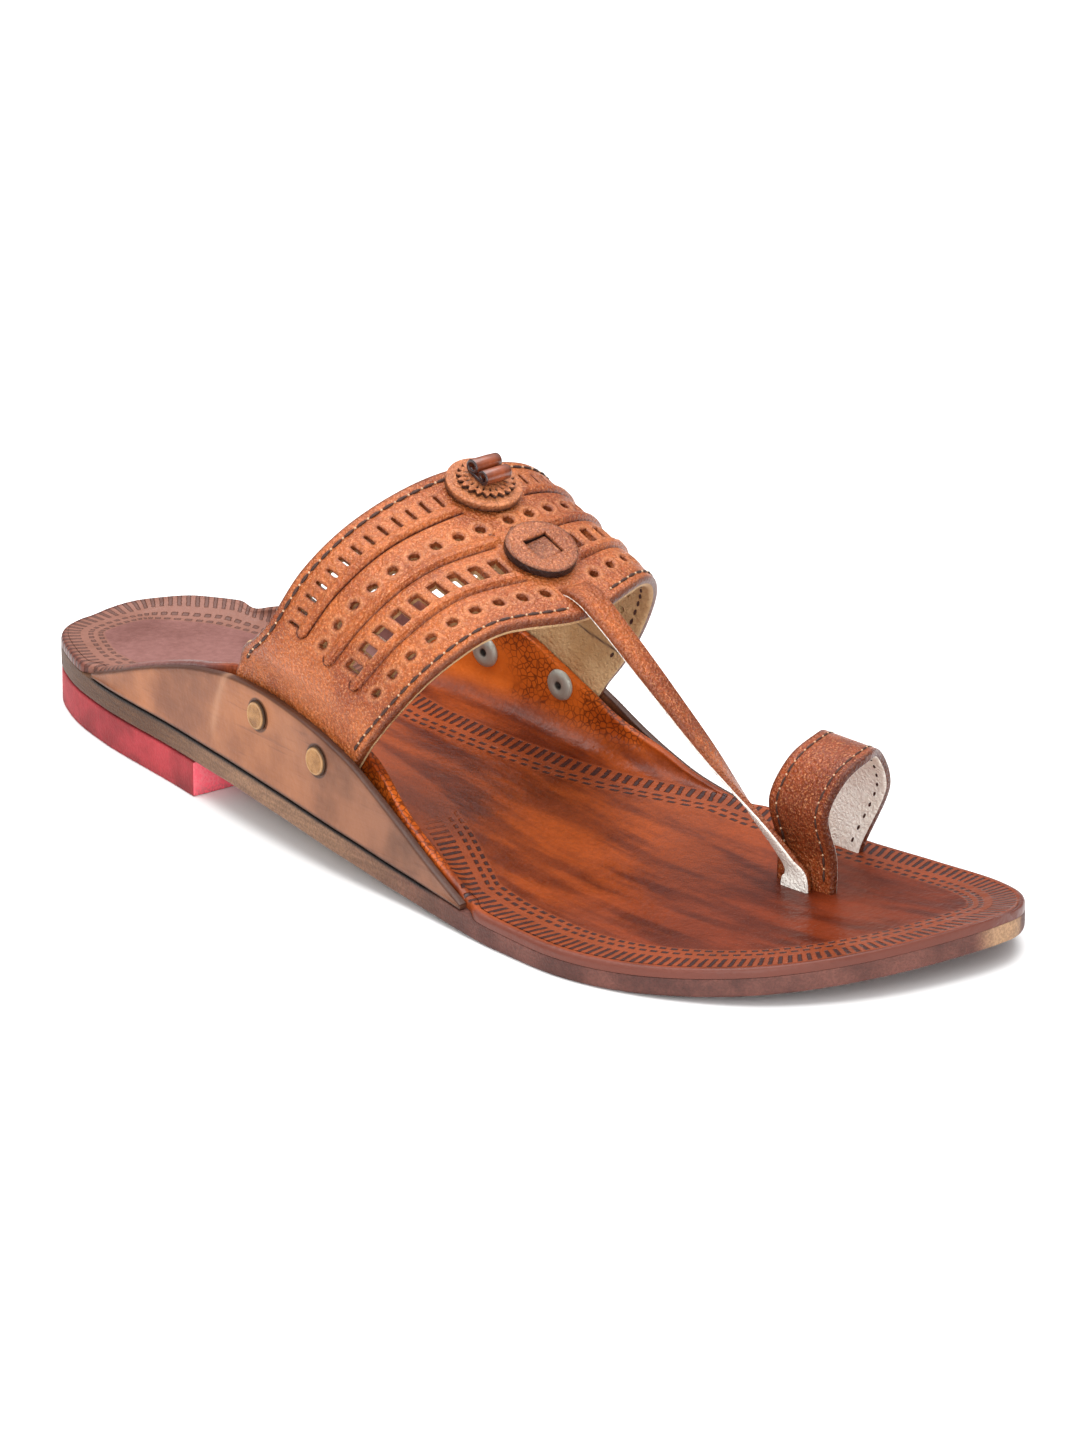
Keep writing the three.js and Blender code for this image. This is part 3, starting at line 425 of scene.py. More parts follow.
set_places(sole_mesh, np.column_stack([section[:, 0], y, section[:, 1]]))
under_ears = ease(EAR_START - 4, EAR_START + 4, y) * (1 - ease(EAR_END - 14, EAR_END - 4, y))
lay_values(sole_mesh, {"joint": ease(0.75, 0.25, high - section[:, 1]) * under_ears})
close_up(sole_mesh, 50)
outsole = mesh_piece("outsole_slab", sole_mesh)
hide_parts("outsole")

sole_leather, tree, shader = shader_of("sole_leather", paint(124, 88, 68), roughness=0.6, specular=0.35)
where = add(tree, "TexCoord").outputs["Object"]
clouds = mottled(tree, where, 2.0)
fibres = noise(tree, stretch(tree, where, (120, 120, 1500)), 1.0, 5.0)
split = add(tree, "SeparateXYZ", where)
toward_toe = band_of(tree, split.outputs[1], -0.02, 0.05)
tip_raw = times(tree, band_of(tree, split.outputs[1], 0.1335, 0.1348),
                band_of(tree, split.outputs[0], -0.016, -0.024))
waist = blend_colours(tree, fibres.outputs[0], paint(84, 58, 42), paint(172, 130, 98))
fore = blend_colours(tree, clouds.outputs[0], paint(78, 42, 36), paint(112, 66, 56))
heel_end = blend_colours(tree, fibres.outputs[0], paint(46, 27, 14), paint(112, 72, 42))
waist = blend_colours(tree, band_of(tree, split.outputs[1], -0.085, -0.035), heel_end, waist)
edge_colour = blend_colours(tree, toward_toe, waist, fore)
edge_colour = blend_colours(tree, tip_raw, edge_colour, paint(176, 138, 104))
flecks = times(tree, clouds.outputs[1], 0.35)
edge_colour = blend_colours(tree, flecks, edge_colour, paint(52, 34, 26))
seam_dark = layer_of(tree, "joint")
tree.links.new(blend_colours(tree, seam_dark, edge_colour, paint(18, 10, 8)), shader.inputs["Base Color"])
bump_from(tree, shader, plus(tree, fibres.outputs[0], times(tree, clouds.outputs[1], 0.5)), 0.12)
outsole.data.materials.append(sole_leather)

# Footbed
# A thinner leather over the outsole, glazed red-brown and stamped with a border of strokes and
# dots. Its sides are bent up as the inner layer of the ears.

BED_LEATHER, EAR_LEATHER, BAND_LEATHER = 2.2, 2.0, 2.8
EAR_RISE, EAR_LEAN, BED_BEND, INNER_EAR_LIFT = 21.4, 0.03, 7.0, 0.9
# along, top line of the ears as a share of their rise outside and inside
EARS = np.array([
    (0.105, 0.07, 0.07), (0.135, 0.21, 0.21), (0.187, 0.46, 0.46), (0.228, 0.635, 0.635),
    (0.265, 0.775, 0.775), (0.300, 0.875, 0.875), (0.340, 0.96, 0.96), (0.385, 1.00, 1.00),
    (0.420, 0.985, 0.95), (0.460, 0.94, 0.77), (0.500, 0.84, 0.57), (0.530, 0.70, 0.41),
    (0.565, 0.51, 0.265), (0.600, 0.31, 0.15), (0.650, 0.07, 0.07),
])


def ear_rise_at(side, y):
    return EAR_RISE * column_at(EARS, 1 if side > 0 else 2, np.asarray(y) / LENGTH)


def ear_face_at(side, y, height):
    return edge_at(side, y) - EAR_LEAN * height


def pocket_at(y):
    along = np.asarray(y) / LENGTH
    return ease(0.280, 0.320, along) * (1 - ease(0.507, 0.575, along))


bed_mesh, around, along = flat_sheet("footbed_shape", 150, 330)
y = seam_spaced(along, 0.27, TIP - 0.27)
low = sole_top_at(y) + 0.06
narrow = (edge_at(1, y) + edge_at(-1, y)) / 12
small = np.minimum(0.6, narrow)
in_ears = ease(EAR_START - 6, EAR_START - GAP, y) * (1 - ease(EAR_END + GAP, EAR_END + 6, y))
inset = in_ears * (EAR_LEATHER + GAP) + pocket_at(y) * (BAND_LEATHER + GAP)
wall = np.minimum(BED_LEATHER, 3 * narrow)


def bed_side(side):
    """Half of the footbed's section, from the middle of its underside out and up to its lip."""
    blend = ease(EAR_START - 4, EAR_START + 4, y) * (1 - ease(EAR_END - 4, EAR_END + 4, y))
    rise = blend * np.maximum(0, ear_rise_at(side, y) + INNER_EAR_LIFT - BED_LEATHER - GAP)
    bent = ease(0, 2 * BED_LEATHER, rise)
    bend = np.minimum(BED_BEND, rise * 0.8)
    foot = small * (0.2 + 0.8 * bent)
    crown = small * (1.6 - 0.6 * bent)
    outer_bend = np.minimum(foot + (bend + BED_LEATHER - foot) * bent, BED_LEATHER + rise - 2 * small)
    reach = 2 * small + (BED_BEND - 2 * small) * bent
    base = edge_at(side, y) - inset
    outer_reach = foot + (reach + wall - foot) * bent
    top = BED_LEATHER + rise
    under, over = [], []
    for a in np.radians([0, 15, 30, 45, 60, 75, 90]):
        under.append((base - outer_reach * (1 - np.sin(a)), outer_bend * (1 - np.cos(a))))
    for step in (0.35, 0.7):
        under.append((base, outer_bend + (top - crown - outer_bend) * step))
    for a in np.radians([0, 30, 60, 90]):
        under.append((base - crown + crown * np.cos(a), top - crown + crown * np.sin(a)))
    for a in np.radians([0, 45]):
        over.append((base - wall + small * 0.5 * (1 - np.sin(a)), top - small * 0.5 * (1 - np.cos(a))))
    over.append((base - wall, top - small * 0.5))
    for step in (0.2, 0.4, 0.6, 0.8):
        over.append((base - wall, top - small * 0.5 + (BED_LEATHER + bend - top + small * 0.5) * step))
    for a in np.radians([90, 78, 66, 54, 42, 30, 18, 8, 0]):
        over.append((base - wall - reach * (1 - np.sin(a)), BED_LEATHER + bend * (1 - np.cos(a))))
    return [(side * (x - EAR_LEAN * z), low + z) for x, z in under + over]


right_side, left_side = bed_side(1), bed_side(-1)
cup = (1.6 + 1.6 * ease(1, 14, y)) * (1 - ease(26, 54, y))
profile = [(right_side[0][0] * (1 - s) + left_side[0][0] * s, low) for s in np.linspace(0.5, 0, 8)][:-1]
profile += right_side
for s in np.linspace(0, 1, 62)[1:-1]:
    profile.append((right_side[-1][0] * (1 - s) + left_side[-1][0] * s, low + BED_LEATHER))
profile += left_side[::-1]
profile += [(right_side[0][0] * (1 - s) + left_side[0][0] * s, low) for s in np.linspace(1, 0.5, 8)][1:]
rows = np.stack([np.stack(np.broadcast_arrays(*point), -1) for point in profile], 1)
section = along_profile(rows, around)
from_rim = np.minimum(edge_at(-1, y) + section[:, 0], 2 * y)
inner_side = ease(-2, 14, -section[:, 0])
section[:, 1] += cup * ease(11, 0, from_rim) * inner_side * ease(0.0, 1.0, section[:, 1] - low)
bed_places = np.column_stack([section[:, 0], y, section[:, 1]])
set_places(bed_mesh, bed_places)
lay_values(bed_mesh, {"raised": ease(1.0, 4.5, section[:, 1] - low - BED_LEATHER)})
close_up(bed_mesh, 50)

# The border is laid out by its distance from the edge, and drawn in at the waist
WAIST = np.array([
    (0.0, -2.5), (0.09, -2.5), (0.14, 0.0), (0.22, 6.0), (0.30, 14.0), (0.38, 19.0), (0.43, 19.3),
    (0.47, 18.5), (0.52, 16.0), (0.565, 11.0), (0.605, 5.7), (0.645, 0.6), (0.70, 0.0), (1.0, 0.0),
])


def border_marks(mesh):
    """Lays the distance round and in from the sole's edge on a mesh, as its marks map."""
    places = read_places(mesh) / MM + MIDDLE
    step = np.linalg.norm(np.diff(np.vstack([outline, outline[:1]]), axis=0), axis=1)
    run = np.concatenate([[0], np.cumsum(step)])
    nearest = np.empty(len(places), int)
    for start in range(0, len(places), 4000):
        part = places[start:start + 4000, None, :2] - outline[None]
        nearest[start:start + 4000] = (part ** 2).sum(2).argmin(1)
    away = np.linalg.norm(places[:, :2] - outline[nearest], axis=1)
    drawn_in = np.interp(places[:, 1] / LENGTH, WAIST[:, 0], WAIST[:, 1])
    length = run[-1]
    pairs = np.column_stack([run[nearest] * 280 / length, away - drawn_in])
    lay_values(mesh, {"rim": ease(1.5, 0.3, away)})
    layer = mesh.uv_layers.new(name="marks")
    corners = np.empty(len(mesh.loops), int)
    mesh.loops.foreach_get("vertex_index", corners)
    marks = pairs[corners]
    sizes = np.empty(len(mesh.polygons), int)
    mesh.polygons.foreach_get("loop_total", sizes)
    face = np.repeat(np.arange(len(sizes)), sizes)
    top = np.zeros(len(sizes))
    np.maximum.at(top, face, marks[:, 0])
    wraps = (top[face] - marks[:, 0]) > 140
    marks[wraps, 0] += 280
    layer.data.foreach_set("uv", marks.ravel())


border_marks(bed_mesh)
footbed = mesh_piece("footbed_glazed", bed_mesh)
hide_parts("footbed")

glazed, tree, shader = shader_of("glazed_leather", paint(140, 66, 32), roughness=0.4, coat=0.0, specular=0.24)
where = add(tree, "TexCoord").outputs["Object"]
clouds = mottled(tree, where, 0.8)
marks = add(tree, "UVMap", uv_map="marks")
mark = add(tree, "SeparateXYZ", marks.outputs[0])
run, depth = mark.outputs[0], mark.outputs[1]


def row_of_marks(run, depth, low, high, slant, duty):
    """1 in the strokes of a stamped row, one stroke for each whole step of the run."""
    shifted = plus(tree, run, times(tree, depth, slant))
    phase = maths(tree, "ABSOLUTE", maths(tree, "SUBTRACT", maths(tree, "FRACT", shifted), 0.5))
    stroke = band_of(tree, phase, duty / 2 + 0.07, duty / 2 - 0.07)
    inside = times(tree, band_of(tree, depth, low - 0.2, low + 0.2),
                   band_of(tree, depth, high + 0.2, high - 0.2))
    return times(tree, stroke, inside)


split = add(tree, "SeparateXYZ", where)
leaning = band_of(tree, split.outputs[0], -0.03, 0.02, 0.157, -0.07)
strokes = row_of_marks(run, depth, 1.9, 7.0, leaning, 0.42)
dash_run = times(tree, run, 0.75)
dashes = row_of_marks(dash_run, depth, 9.0, 10.0, 0.0, 0.56)
more_dashes = row_of_marks(plus(tree, dash_run, 0.5), depth, 11.3, 12.3, 0.0, 0.56)
stamped = maths(tree, "MAXIMUM", strokes, maths(tree, "MAXIMUM", dashes, more_dashes))
outer_waist = times(tree, band_of(tree, split.outputs[1], -0.05, -0.035),
                    band_of(tree, split.outputs[1], 0.020, 0.004))
outer_waist = times(tree, outer_waist, band_of(tree, split.outputs[0], 0.0, 0.006))
stamped = times(tree, stamped, maths(tree, "SUBTRACT", 1.0, outer_waist))
seat = band_of(tree, split.outputs[1], -0.042, -0.060)
forward = band_of(tree, split.outputs[1], 0.02, 0.09)
strokes_of_dye = noise(tree, stretch(tree, where, (160, 26, 60), (0, 0, 0.5)), 1.0, 5.0)
dyed = band_of(tree, strokes_of_dye.outputs[0], 0.38, 0.62)
dyed = plus(tree, times(tree, dyed, 0.6), times(tree, clouds.outputs[0], 0.4))
dark_red = blend_colours(tree, dyed, paint(78, 22, 4), paint(166, 74, 22))
fore_red = blend_colours(tree, dyed, paint(66, 19, 6), paint(120, 46, 17))
worn = blend_colours(tree, forward, dark_red, fore_red)
worn = blend_colours(tree, seat, worn, blend_colours(tree, clouds.outputs[0], paint(112, 70, 64),
                                                     paint(136, 92, 86)))
worn = blend_colours(tree, times(tree, clouds.outputs[1], 0.18), worn, paint(70, 28, 14))
bordered = times(tree, band_of(tree, depth, 13.2, 12.2), band_of(tree, depth, 0.8, 1.6))
bent_up = times(tree, layer_of(tree, "raised"), maths(tree, "SUBTRACT", 1.0, seat))
worn = blend_colours(tree, times(tree, bent_up, 0.8), worn,
                     blend_colours(tree, dyed, paint(132, 46, 8), paint(224, 112, 36)))
border_tint = times(tree, bordered, 0.5)
worn = blend_colours(tree, border_tint, worn, blend_colours(tree, seat, paint(150, 72, 38),
                                                            paint(140, 96, 76)))
lip = layer_of(tree, "rim")
worn = blend_colours(tree, times(tree, lip, 0.9), worn, paint(104, 58, 48))
crackle = add(tree, "TexVoronoi", where, feature="DISTANCE_TO_EDGE")
crackle.inputs["Scale"].default_value = 700.0
cracked = times(tree, band_of(tree, crackle.outputs[0], 0.14, 0.02, 0.0, 0.75),
                times(tree, bent_up, band_of(tree, clouds.outputs[0], 0.75, 0.25)))
worn = blend_colours(tree, cracked, worn, paint(62, 22, 10))
inked = times(tree, stamped, band_of(tree, seat, 0.0, 1.0, 0.9, 0.5))
tree.links.new(blend_colours(tree, inked, worn, paint(38, 26, 30)), shader.inputs["Base Color"])
pores = add(tree, "TexVoronoi", where, feature="F1")
pores.inputs["Scale"].default_value = 900.0
peel = noise(tree, where, 330.0, 3.0)
grain = plus(tree, times(tree, pores.outputs[0], 0.16), times(tree, peel.outputs[0], 0.75))
relief = maths(tree, "SUBTRACT", grain, stamped)
bump_from(tree, shader, relief, 0.35)
tree.links.new(band_of(tree, clouds.outputs[0], 0.0, 1.0, 0.3, 0.48), shader.inputs["Roughness"])
footbed.data.materials.append(glazed)

# Ears
# Flaps of plain tan leather that stand on the edge of the outsole outside the band. They are
# skived to a point in front and creased where they step over the band.

tan_leather, tree, shader = shader_of("tan_leather", paint(182, 130, 98), roughness=0.5, specular=0.4)
where = add(tree, "TexCoord").outputs["Object"]
clouds = mottled(tree, where, 1.0)
split = add(tree, "SeparateXYZ", where)
base = blend_colours(tree, clouds.outputs[0], paint(118, 66, 36), paint(164, 102, 62))
fore = blend_colours(tree, clouds.outputs[0], paint(84, 50, 32), paint(132, 86, 62))
base = blend_colours(tree, band_of(tree, split.outputs[1], -0.05, 0.03), base, fore)
scratches = noise(tree, stretch(tree, where, (60, 60, 900), (0.5, 0, 0)), 1.0, 3.0)
scratched = times(tree, band_of(tree, scratches.outputs[0], 0.60, 0.72), 0.35)
base = blend_colours(tree, scratched, base, paint(96, 56, 38))
# name, along, height as a share of the ears' rise outside and inside
RIVETS = [("rear", 0.3775, 0.72, 0.62), ("front", 0.463, 0.64, 0.60)]
for name, along, outside, inside in RIVETS:
    for side, share in ((1, outside), (-1, inside)):
        up = EAR_RISE * share
        spot = np.array([side * float(ear_face_at(side, along * LENGTH, up)), along * LENGTH,
                         float(sole_top_at(along * LENGTH)) + up])
        away = add(tree, "VectorMath", where, tuple((spot - MIDDLE) * MM),
                   operation="DISTANCE").outputs["Value"]
        # Dirt and painted shade: a dark ring round each rivet head, where it is pressed into the ear.
        pressed = times(tree, band_of(tree, away, 0.0033, 0.0036), band_of(tree, away, 0.0042, 0.0038))
        base = blend_colours(tree, times(tree, pressed, 0.75), base, paint(44, 22, 14))
edge_dark = layer_of(tree, "edge")
base = blend_colours(tree, times(tree, edge_dark, 0.85), base, paint(58, 32, 24))
fold = layer_of(tree, "crease")
base = blend_colours(tree, times(tree, fold, 0.35), base, paint(196, 146, 112))
tree.links.new(base, shader.inputs["Base Color"])
bump_from(tree, shader, plus(tree, times(tree, clouds.outputs[1], 0.3), scratches.outputs[0]), 0.10)


def outer_ear(side, name, node):
    mesh, around, along = flat_sheet(name + "_shape", 36, 260)
    y = seam_spaced(along, EAR_START, EAR_END)
    foot = sole_top_at(y) + GAP
    height = np.maximum(ear_rise_at(side, y) - GAP - (0.9 * ease(105, 125, y) if side < 0 else 0), 0.5)
    small = np.minimum(0.7, height / 4)
    swell = 0.35 * np.sin(y / 11.0 + side)

    def lean(depth, up):
        return side * (ear_face_at(side, y, up) - depth), foot + up

    profile = [lean(depth, 0 * y) for depth in np.linspace(1.0, 0.15, 4)]
    profile += [lean(np.maximum(0, -swell * 4 * s * (1 - s)), small + (height - 2 * small) * s)
                for s in np.linspace(0, 1, 12)]
    for a in np.radians([30, 60, 90]):
        profile.append(lean(small * (1 - np.cos(a)), height - small + small * np.sin(a)))
    profile += [lean(EAR_LEATHER - 0.4 * small * (1 - np.sin(a)), height - 0.4 * small * (1 - np.cos(a)))
                for a in np.radians([0, 45, 90])]
    profile += [lean(EAR_LEATHER + 0 * y, height * s) for s in np.linspace(0.9, 0.0, 8)]
    profile += [lean(1.0 + 0 * y, 0 * y)]
    rows = np.stack([np.stack(np.broadcast_arrays(*point), -1) for point in profile], 1)
    section = along_profile(rows, around)
    set_places(mesh, np.column_stack([section[:, 0], y, section[:, 1]]))
    up = section[:, 1] - foot
    crease_at = 83.0 + 5.5 * np.clip(up / 20, 0, 1) ** 2
    crease = np.exp(-((y - crease_at) / 1.3) ** 2) * ease(2, 8, up)
    crest = ease(0.9, 0.25, height - up) + ease(0.7, 0.2, up)
    lay_values(mesh, {"edge": np.clip(crest, 0, 1), "crease": crease})
    close_up(mesh, 50)
    ear = mesh_piece(name, mesh)
    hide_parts(node)
    mesh.materials.append(tan_leather)
    return ear


ear_lateral = outer_ear(1, "ear_lateral_tan", "ear_outer_lateral")
ear_medial = outer_ear(-1, "ear_medial_tan", "ear_outer_medial")

# Instep band
# Thick brown leather lined in cream, pierced and embossed flat and then bent over the last. Its
# ends are held between the layers of the ears.

INSTEP_RISE, STRIP_WIDTH, STRIP_HEIGHT = 69.5, 3.4, 0.9
# rear edge out, along, up, then front edge out, along, up, from the inner side to the outer one
BAND = [
    (-0.80, 0.331, 0.075, -0.83, 0.480, 0.075), (-0.80, 0.343, 0.325, -0.83, 0.503, 0.225),
    (-0.87, 0.396, 0.555, -0.82, 0.538, 0.435), (-0.795, 0.427, 0.790, -0.72, 0.574, 0.661),
    (-0.53, 0.446, 0.948, -0.46, 0.606, 0.800), (0.00, 0.444, 1.000, 0.00, 0.619, 0.778),
    (0.48, 0.432, 0.905, 0.42, 0.593, 0.757), (0.74, 0.418, 0.760, 0.67, 0.569, 0.633),
    (0.86, 0.394, 0.550, 0.82, 0.537, 0.437), (0.80, 0.334, 0.325, 0.87, 0.502, 0.225),
    (0.80, 0.322, 0.075, 0.87, 0.480, 0.075),
]
band_edges = []
for first in (0, 3):
    points = []
    for row in BAND:
        y = row[first + 1] * LENGTH
        points.append((row[first] * HALF_BALL, y, float(sole_top_at(y)) + row[first + 2] * INSTEP_RISE))
    band_edges.append(points)


def band_surface(around, across):
    around = np.clip(around, 0, 1)
    rear = flowing_line(band_edges[0], False, around)
    front = flowing_line(band_edges[1], False, around)
    point = rear + (front - rear) * np.asarray(across)[:, None]
    side = np.where(point[:, 0] < 0, -1.0, 1.0)
    height = point[:, 2] - sole_top_at(point[:, 1])
    reach = np.where(side > 0, edge_at(1, point[:, 1]), edge_at(-1, point[:, 1])) - EAR_LEAN * height
    rise = np.where(side > 0, ear_rise_at(1, point[:, 1]), ear_rise_at(-1, point[:, 1]))
    free = ease(EAR_RISE / 10, EAR_RISE / 2, height - rise)
    held = side * (reach - EAR_LEATHER - GAP)
    point[:, 0] = held + (point[:, 0] - held) * free
    return point


def on_band(around, across, lift):
    """Places over the band's outer face, or in its wall where the lift is negative."""
    step = 0.002
    around, across = np.asarray(around, float), np.asarray(across, float)
    here = band_surface(around, across)
    ahead, behind = np.minimum(1, around + step), np.maximum(0, around - step)
    arc = band_surface(ahead, across) - band_surface(behind, across)
    width = band_surface(around, across + step) - band_surface(around, across - step)
    normal = np.cross(arc, width)
    normal /= np.linalg.norm(normal, axis=1, keepdims=True)
    return here + normal * np.asarray(lift)[:, None]


def run_of(line):
    """How far each point of a line lies along it."""
    return np.concatenate([[0], np.cumsum(np.linalg.norm(np.diff(line, axis=0), axis=1))])


middle_line = band_surface(np.linspace(0, 1, 401), np.full(401, 0.5))
band_run = run_of(middle_line)
CROWN = band_run[200]
HALF_ARC = {1: band_run[-1] - CROWN, -1: CROWN}
BAND_WIDTH = float(np.linalg.norm(band_surface(np.array([0.5]), np.array([0.0]))
                                  - band_surface(np.array([0.5]), np.array([1.0]))))


def around_at(distance):
    return np.interp(CROWN + np.asarray(distance), band_run, np.linspace(0, 1, 401))


# shape, share across the band, first and last share of the half band from the crown, count
PIERCED = [("slit", 0.155, 0.067, 0.561, 13), ("punch", 0.38, 0.043, 0.558, 9),
           ("window", 0.62, 0.093, 0.558, 9), ("punch", 0.83, 0.049, 0.579, 9)]
STRIPS = [(0.222, 0.014, 0.579), (0.460, 0.022, 0.597), (0.690, 0.046, 0.611)]
BUTTONS = {"rear": (0.173, -0.054), "front": (0.62, -0.034)}
BUTTON_RADIUS = 8.4
SLOT_OFF = -0.035


def seat_of(name, s, across):
    """How far a place on the flat band lies from the middle of a button, in millimetres."""
    spot_across, spot_off = BUTTONS[name]
    spot_s = spot_off * HALF_ARC[-1 if spot_off < 0 else 1]
    return np.hypot(s - spot_s, (across - spot_across) * BAND_WIDTH)


def hole_reach(shape, ds, dw):
    """Signed distance from a hole's rim on the flat leather, negative inside the hole."""
    if shape == "punch":
        return np.hypot(ds, dw) - 1.15
    half_s, half_w, corner = {"window": (1.25, 2.6, 0.4), "slit": (0.37, 2.0, 0.32)}[shape]
    qs, qw = np.abs(ds) - half_s + corner, np.abs(dw) - half_w + corner
    return np.hypot(np.maximum(qs, 0), np.maximum(qw, 0)) + np.minimum(np.maximum(qs, qw), 0) - corner


holes = []
for side in (1, -1):
    for shape, across, first, last, count in PIERCED:
        for i in range(count):
            s = side * (first + (last - first) * i / (count - 1)) * HALF_ARC[side]
            under_strap = abs(s - SLOT_OFF * HALF_ARC[-1]) < 6.4 and across > 0.74
            if min(seat_of("rear", s, across),
                   seat_of("front", s, across)) > BUTTON_RADIUS + 1.7 and not under_strap:
                holes.append((shape, s, across * BAND_WIDTH))


def nearest_hole(s, w):
    """Signed distance from the nearest hole's rim, and the kind of that hole."""
    best = np.full(len(s), 50.0)
    kind = np.zeros(len(s), int)
    for shape, hs, hw in holes:
        near = np.where((np.abs(s - hs) < 6) & (np.abs(w - hw) < 7))[0]
        reach = hole_reach(shape, s[near] - hs, w[near] - hw)
        closer = reach < best[near]
        best[near[closer]] = reach[closer]
        kind[near[closer]] = {"slit": 1, "punch": 2, "window": 3}[shape]
    return best, kind


band_flat, share_around, share_across = flat_sheet("band_shape", 340, 104)
s = share_around * (HALF_ARC[1] + HALF_ARC[-1]) - HALF_ARC[-1]
w = share_across * BAND_WIDTH
cell = (HALF_ARC[1] + HALF_ARC[-1]) / 340
for _ in range(3):
    reach, kind = nearest_hole(s, w)
    close = np.abs(reach) < 0.55 * cell
    tiny = 0.02
    slope_s = (nearest_hole(s + tiny, w)[0] - reach) / tiny
    slope_w = (nearest_hole(s, w + tiny)[0] - reach) / tiny
    size = np.maximum(np.hypot(slope_s, slope_w), 0.3)
    s = np.where(close, s - reach * slope_s / size, s)
    w = np.where(close, np.clip(w - reach * slope_w / size, 0, BAND_WIDTH), w)
band_flat.vertices.foreach_set("co", np.column_stack([s, w, 0 * s]).ravel())
bm = bmesh.new()
bm.from_mesh(band_flat)
centres = np.array([face.calc_center_median() for face in bm.faces])
punched_out = nearest_hole(centres[:, 0], centres[:, 1])[0] < -0.02
bm.faces.ensure_lookup_table()
bmesh.ops.delete(bm, geom=[bm.faces[i] for i in np.where(punched_out)[0]], context="FACES")
bmesh.ops.delete(bm, geom=[vert for vert in bm.verts if not vert.link_faces], context="VERTS")
bmesh.ops.solidify(bm, geom=bm.faces[:], thickness=1.0)
bm.to_mesh(band_flat)
bm.free()
flat = read_places(band_flat)
outer_face = flat[:, 2] > flat[:, 2].mean()
s, w = flat[:, 0], flat[:, 1]
across = w / BAND_WIDTH


def strip_relief(s, across):
    """Height of the raised strips, and how dark the painted shade along their front side is, over the groove
    cut there.
    """
    lift, line = np.zeros(len(s)), np.zeros(len(s))
    side = np.where(s < 0, -1, 1)
    arc = np.where(s < 0, HALF_ARC[-1], HALF_ARC[1])
    off = np.abs(s)
    seat = np.minimum(seat_of("rear", s, across), seat_of("front", s, across))
    clear = ease(BUTTON_RADIUS + 0.4, BUTTON_RADIUS + 1.6, seat)
    for middle, first, last in STRIPS:
        d = (across - middle) * BAND_WIDTH
        end = np.maximum(first * arc + 1.5 - off, off - last * arc + 1.5)
        beyond = np.hypot(np.maximum(end, 0), d)
        inside = np.where(end > 0, beyond, np.abs(d))
        half = STRIP_WIDTH / 2
        rear_side = np.where(d < 0, 1.8, 0.45)
        lift = np.maximum(lift, ease(half + 0.1, half - rear_side, inside) * clear)
        groove = np.exp(-((inside - half - 0.2) / 0.42) ** 2) * ((d > -0.6) | (end > 0)) * (off > first * arc)
        line = np.maximum(line, groove * clear)
    return lift, line


lift, line = strip_relief(s, across)
reach, kind = nearest_hole(s, w)
# Raised rims round the holes; the same values paint a highlight on them in the leather.
ring = np.where(kind == 2, np.exp(-((reach - 0.9) / 0.55) ** 2), 0)
ring += np.where(kind == 3, 0.8 * np.exp(-((reach - 0.7) / 0.5) ** 2), 0)
ring += np.where(kind == 1, 0.45 * np.exp(-((reach - 0.6) / 0.5) ** 2), 0)
drop = np.where(reach < 0.35, 0.22 * ease(0.35, 0.0, reach), 0)
rim = np.minimum(w, BAND_WIDTH - w)
seam = np.exp(-((rim - 3.0) / 0.5) ** 2)
rolled = 0.75 * ease(0.9, 0.0, rim) ** 2
height = STRIP_HEIGHT * lift - 0.45 * line + 0.28 * ring - drop - 0.22 * seam - rolled
inner = -BAND_LEATHER + 0.5 * ease(0.8, 0.0, rim) ** 2
set_places(band_flat, on_band(around_at(s), across, np.where(outer_face, height, inner)))
# a maker's pen line inside, a little above the inner ear
inside_run = s + HALF_ARC[-1]
pen_line = np.exp(-((inside_run - 21.5 - 0.10 * w) / 0.35) ** 2)
lay_values(band_flat, {
    "line": np.where(outer_face, line, 0),
    "hole": np.where(outer_face, ease(0.5, 0.05, reach), 0),
    "ring": np.where(outer_face, np.clip(ring, 0, 1), 0),
    "edge": np.where(outer_face, ease(1.6, 0.2, rim), ease(0.6, 0.0, rim)),
    "lining": np.where(outer_face, 0.0, 1.0),
    "mark": np.where(outer_face, 0.0, pen_line),
})
bm = bmesh.new()
bm.from_mesh(band_flat)
bmesh.ops.recalc_face_normals(bm, faces=bm.faces)
smooth_all(bm, 50)
bm.to_mesh(band_flat)
bm.free()
band = mesh_piece("instep_band", band_flat)
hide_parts("upper")


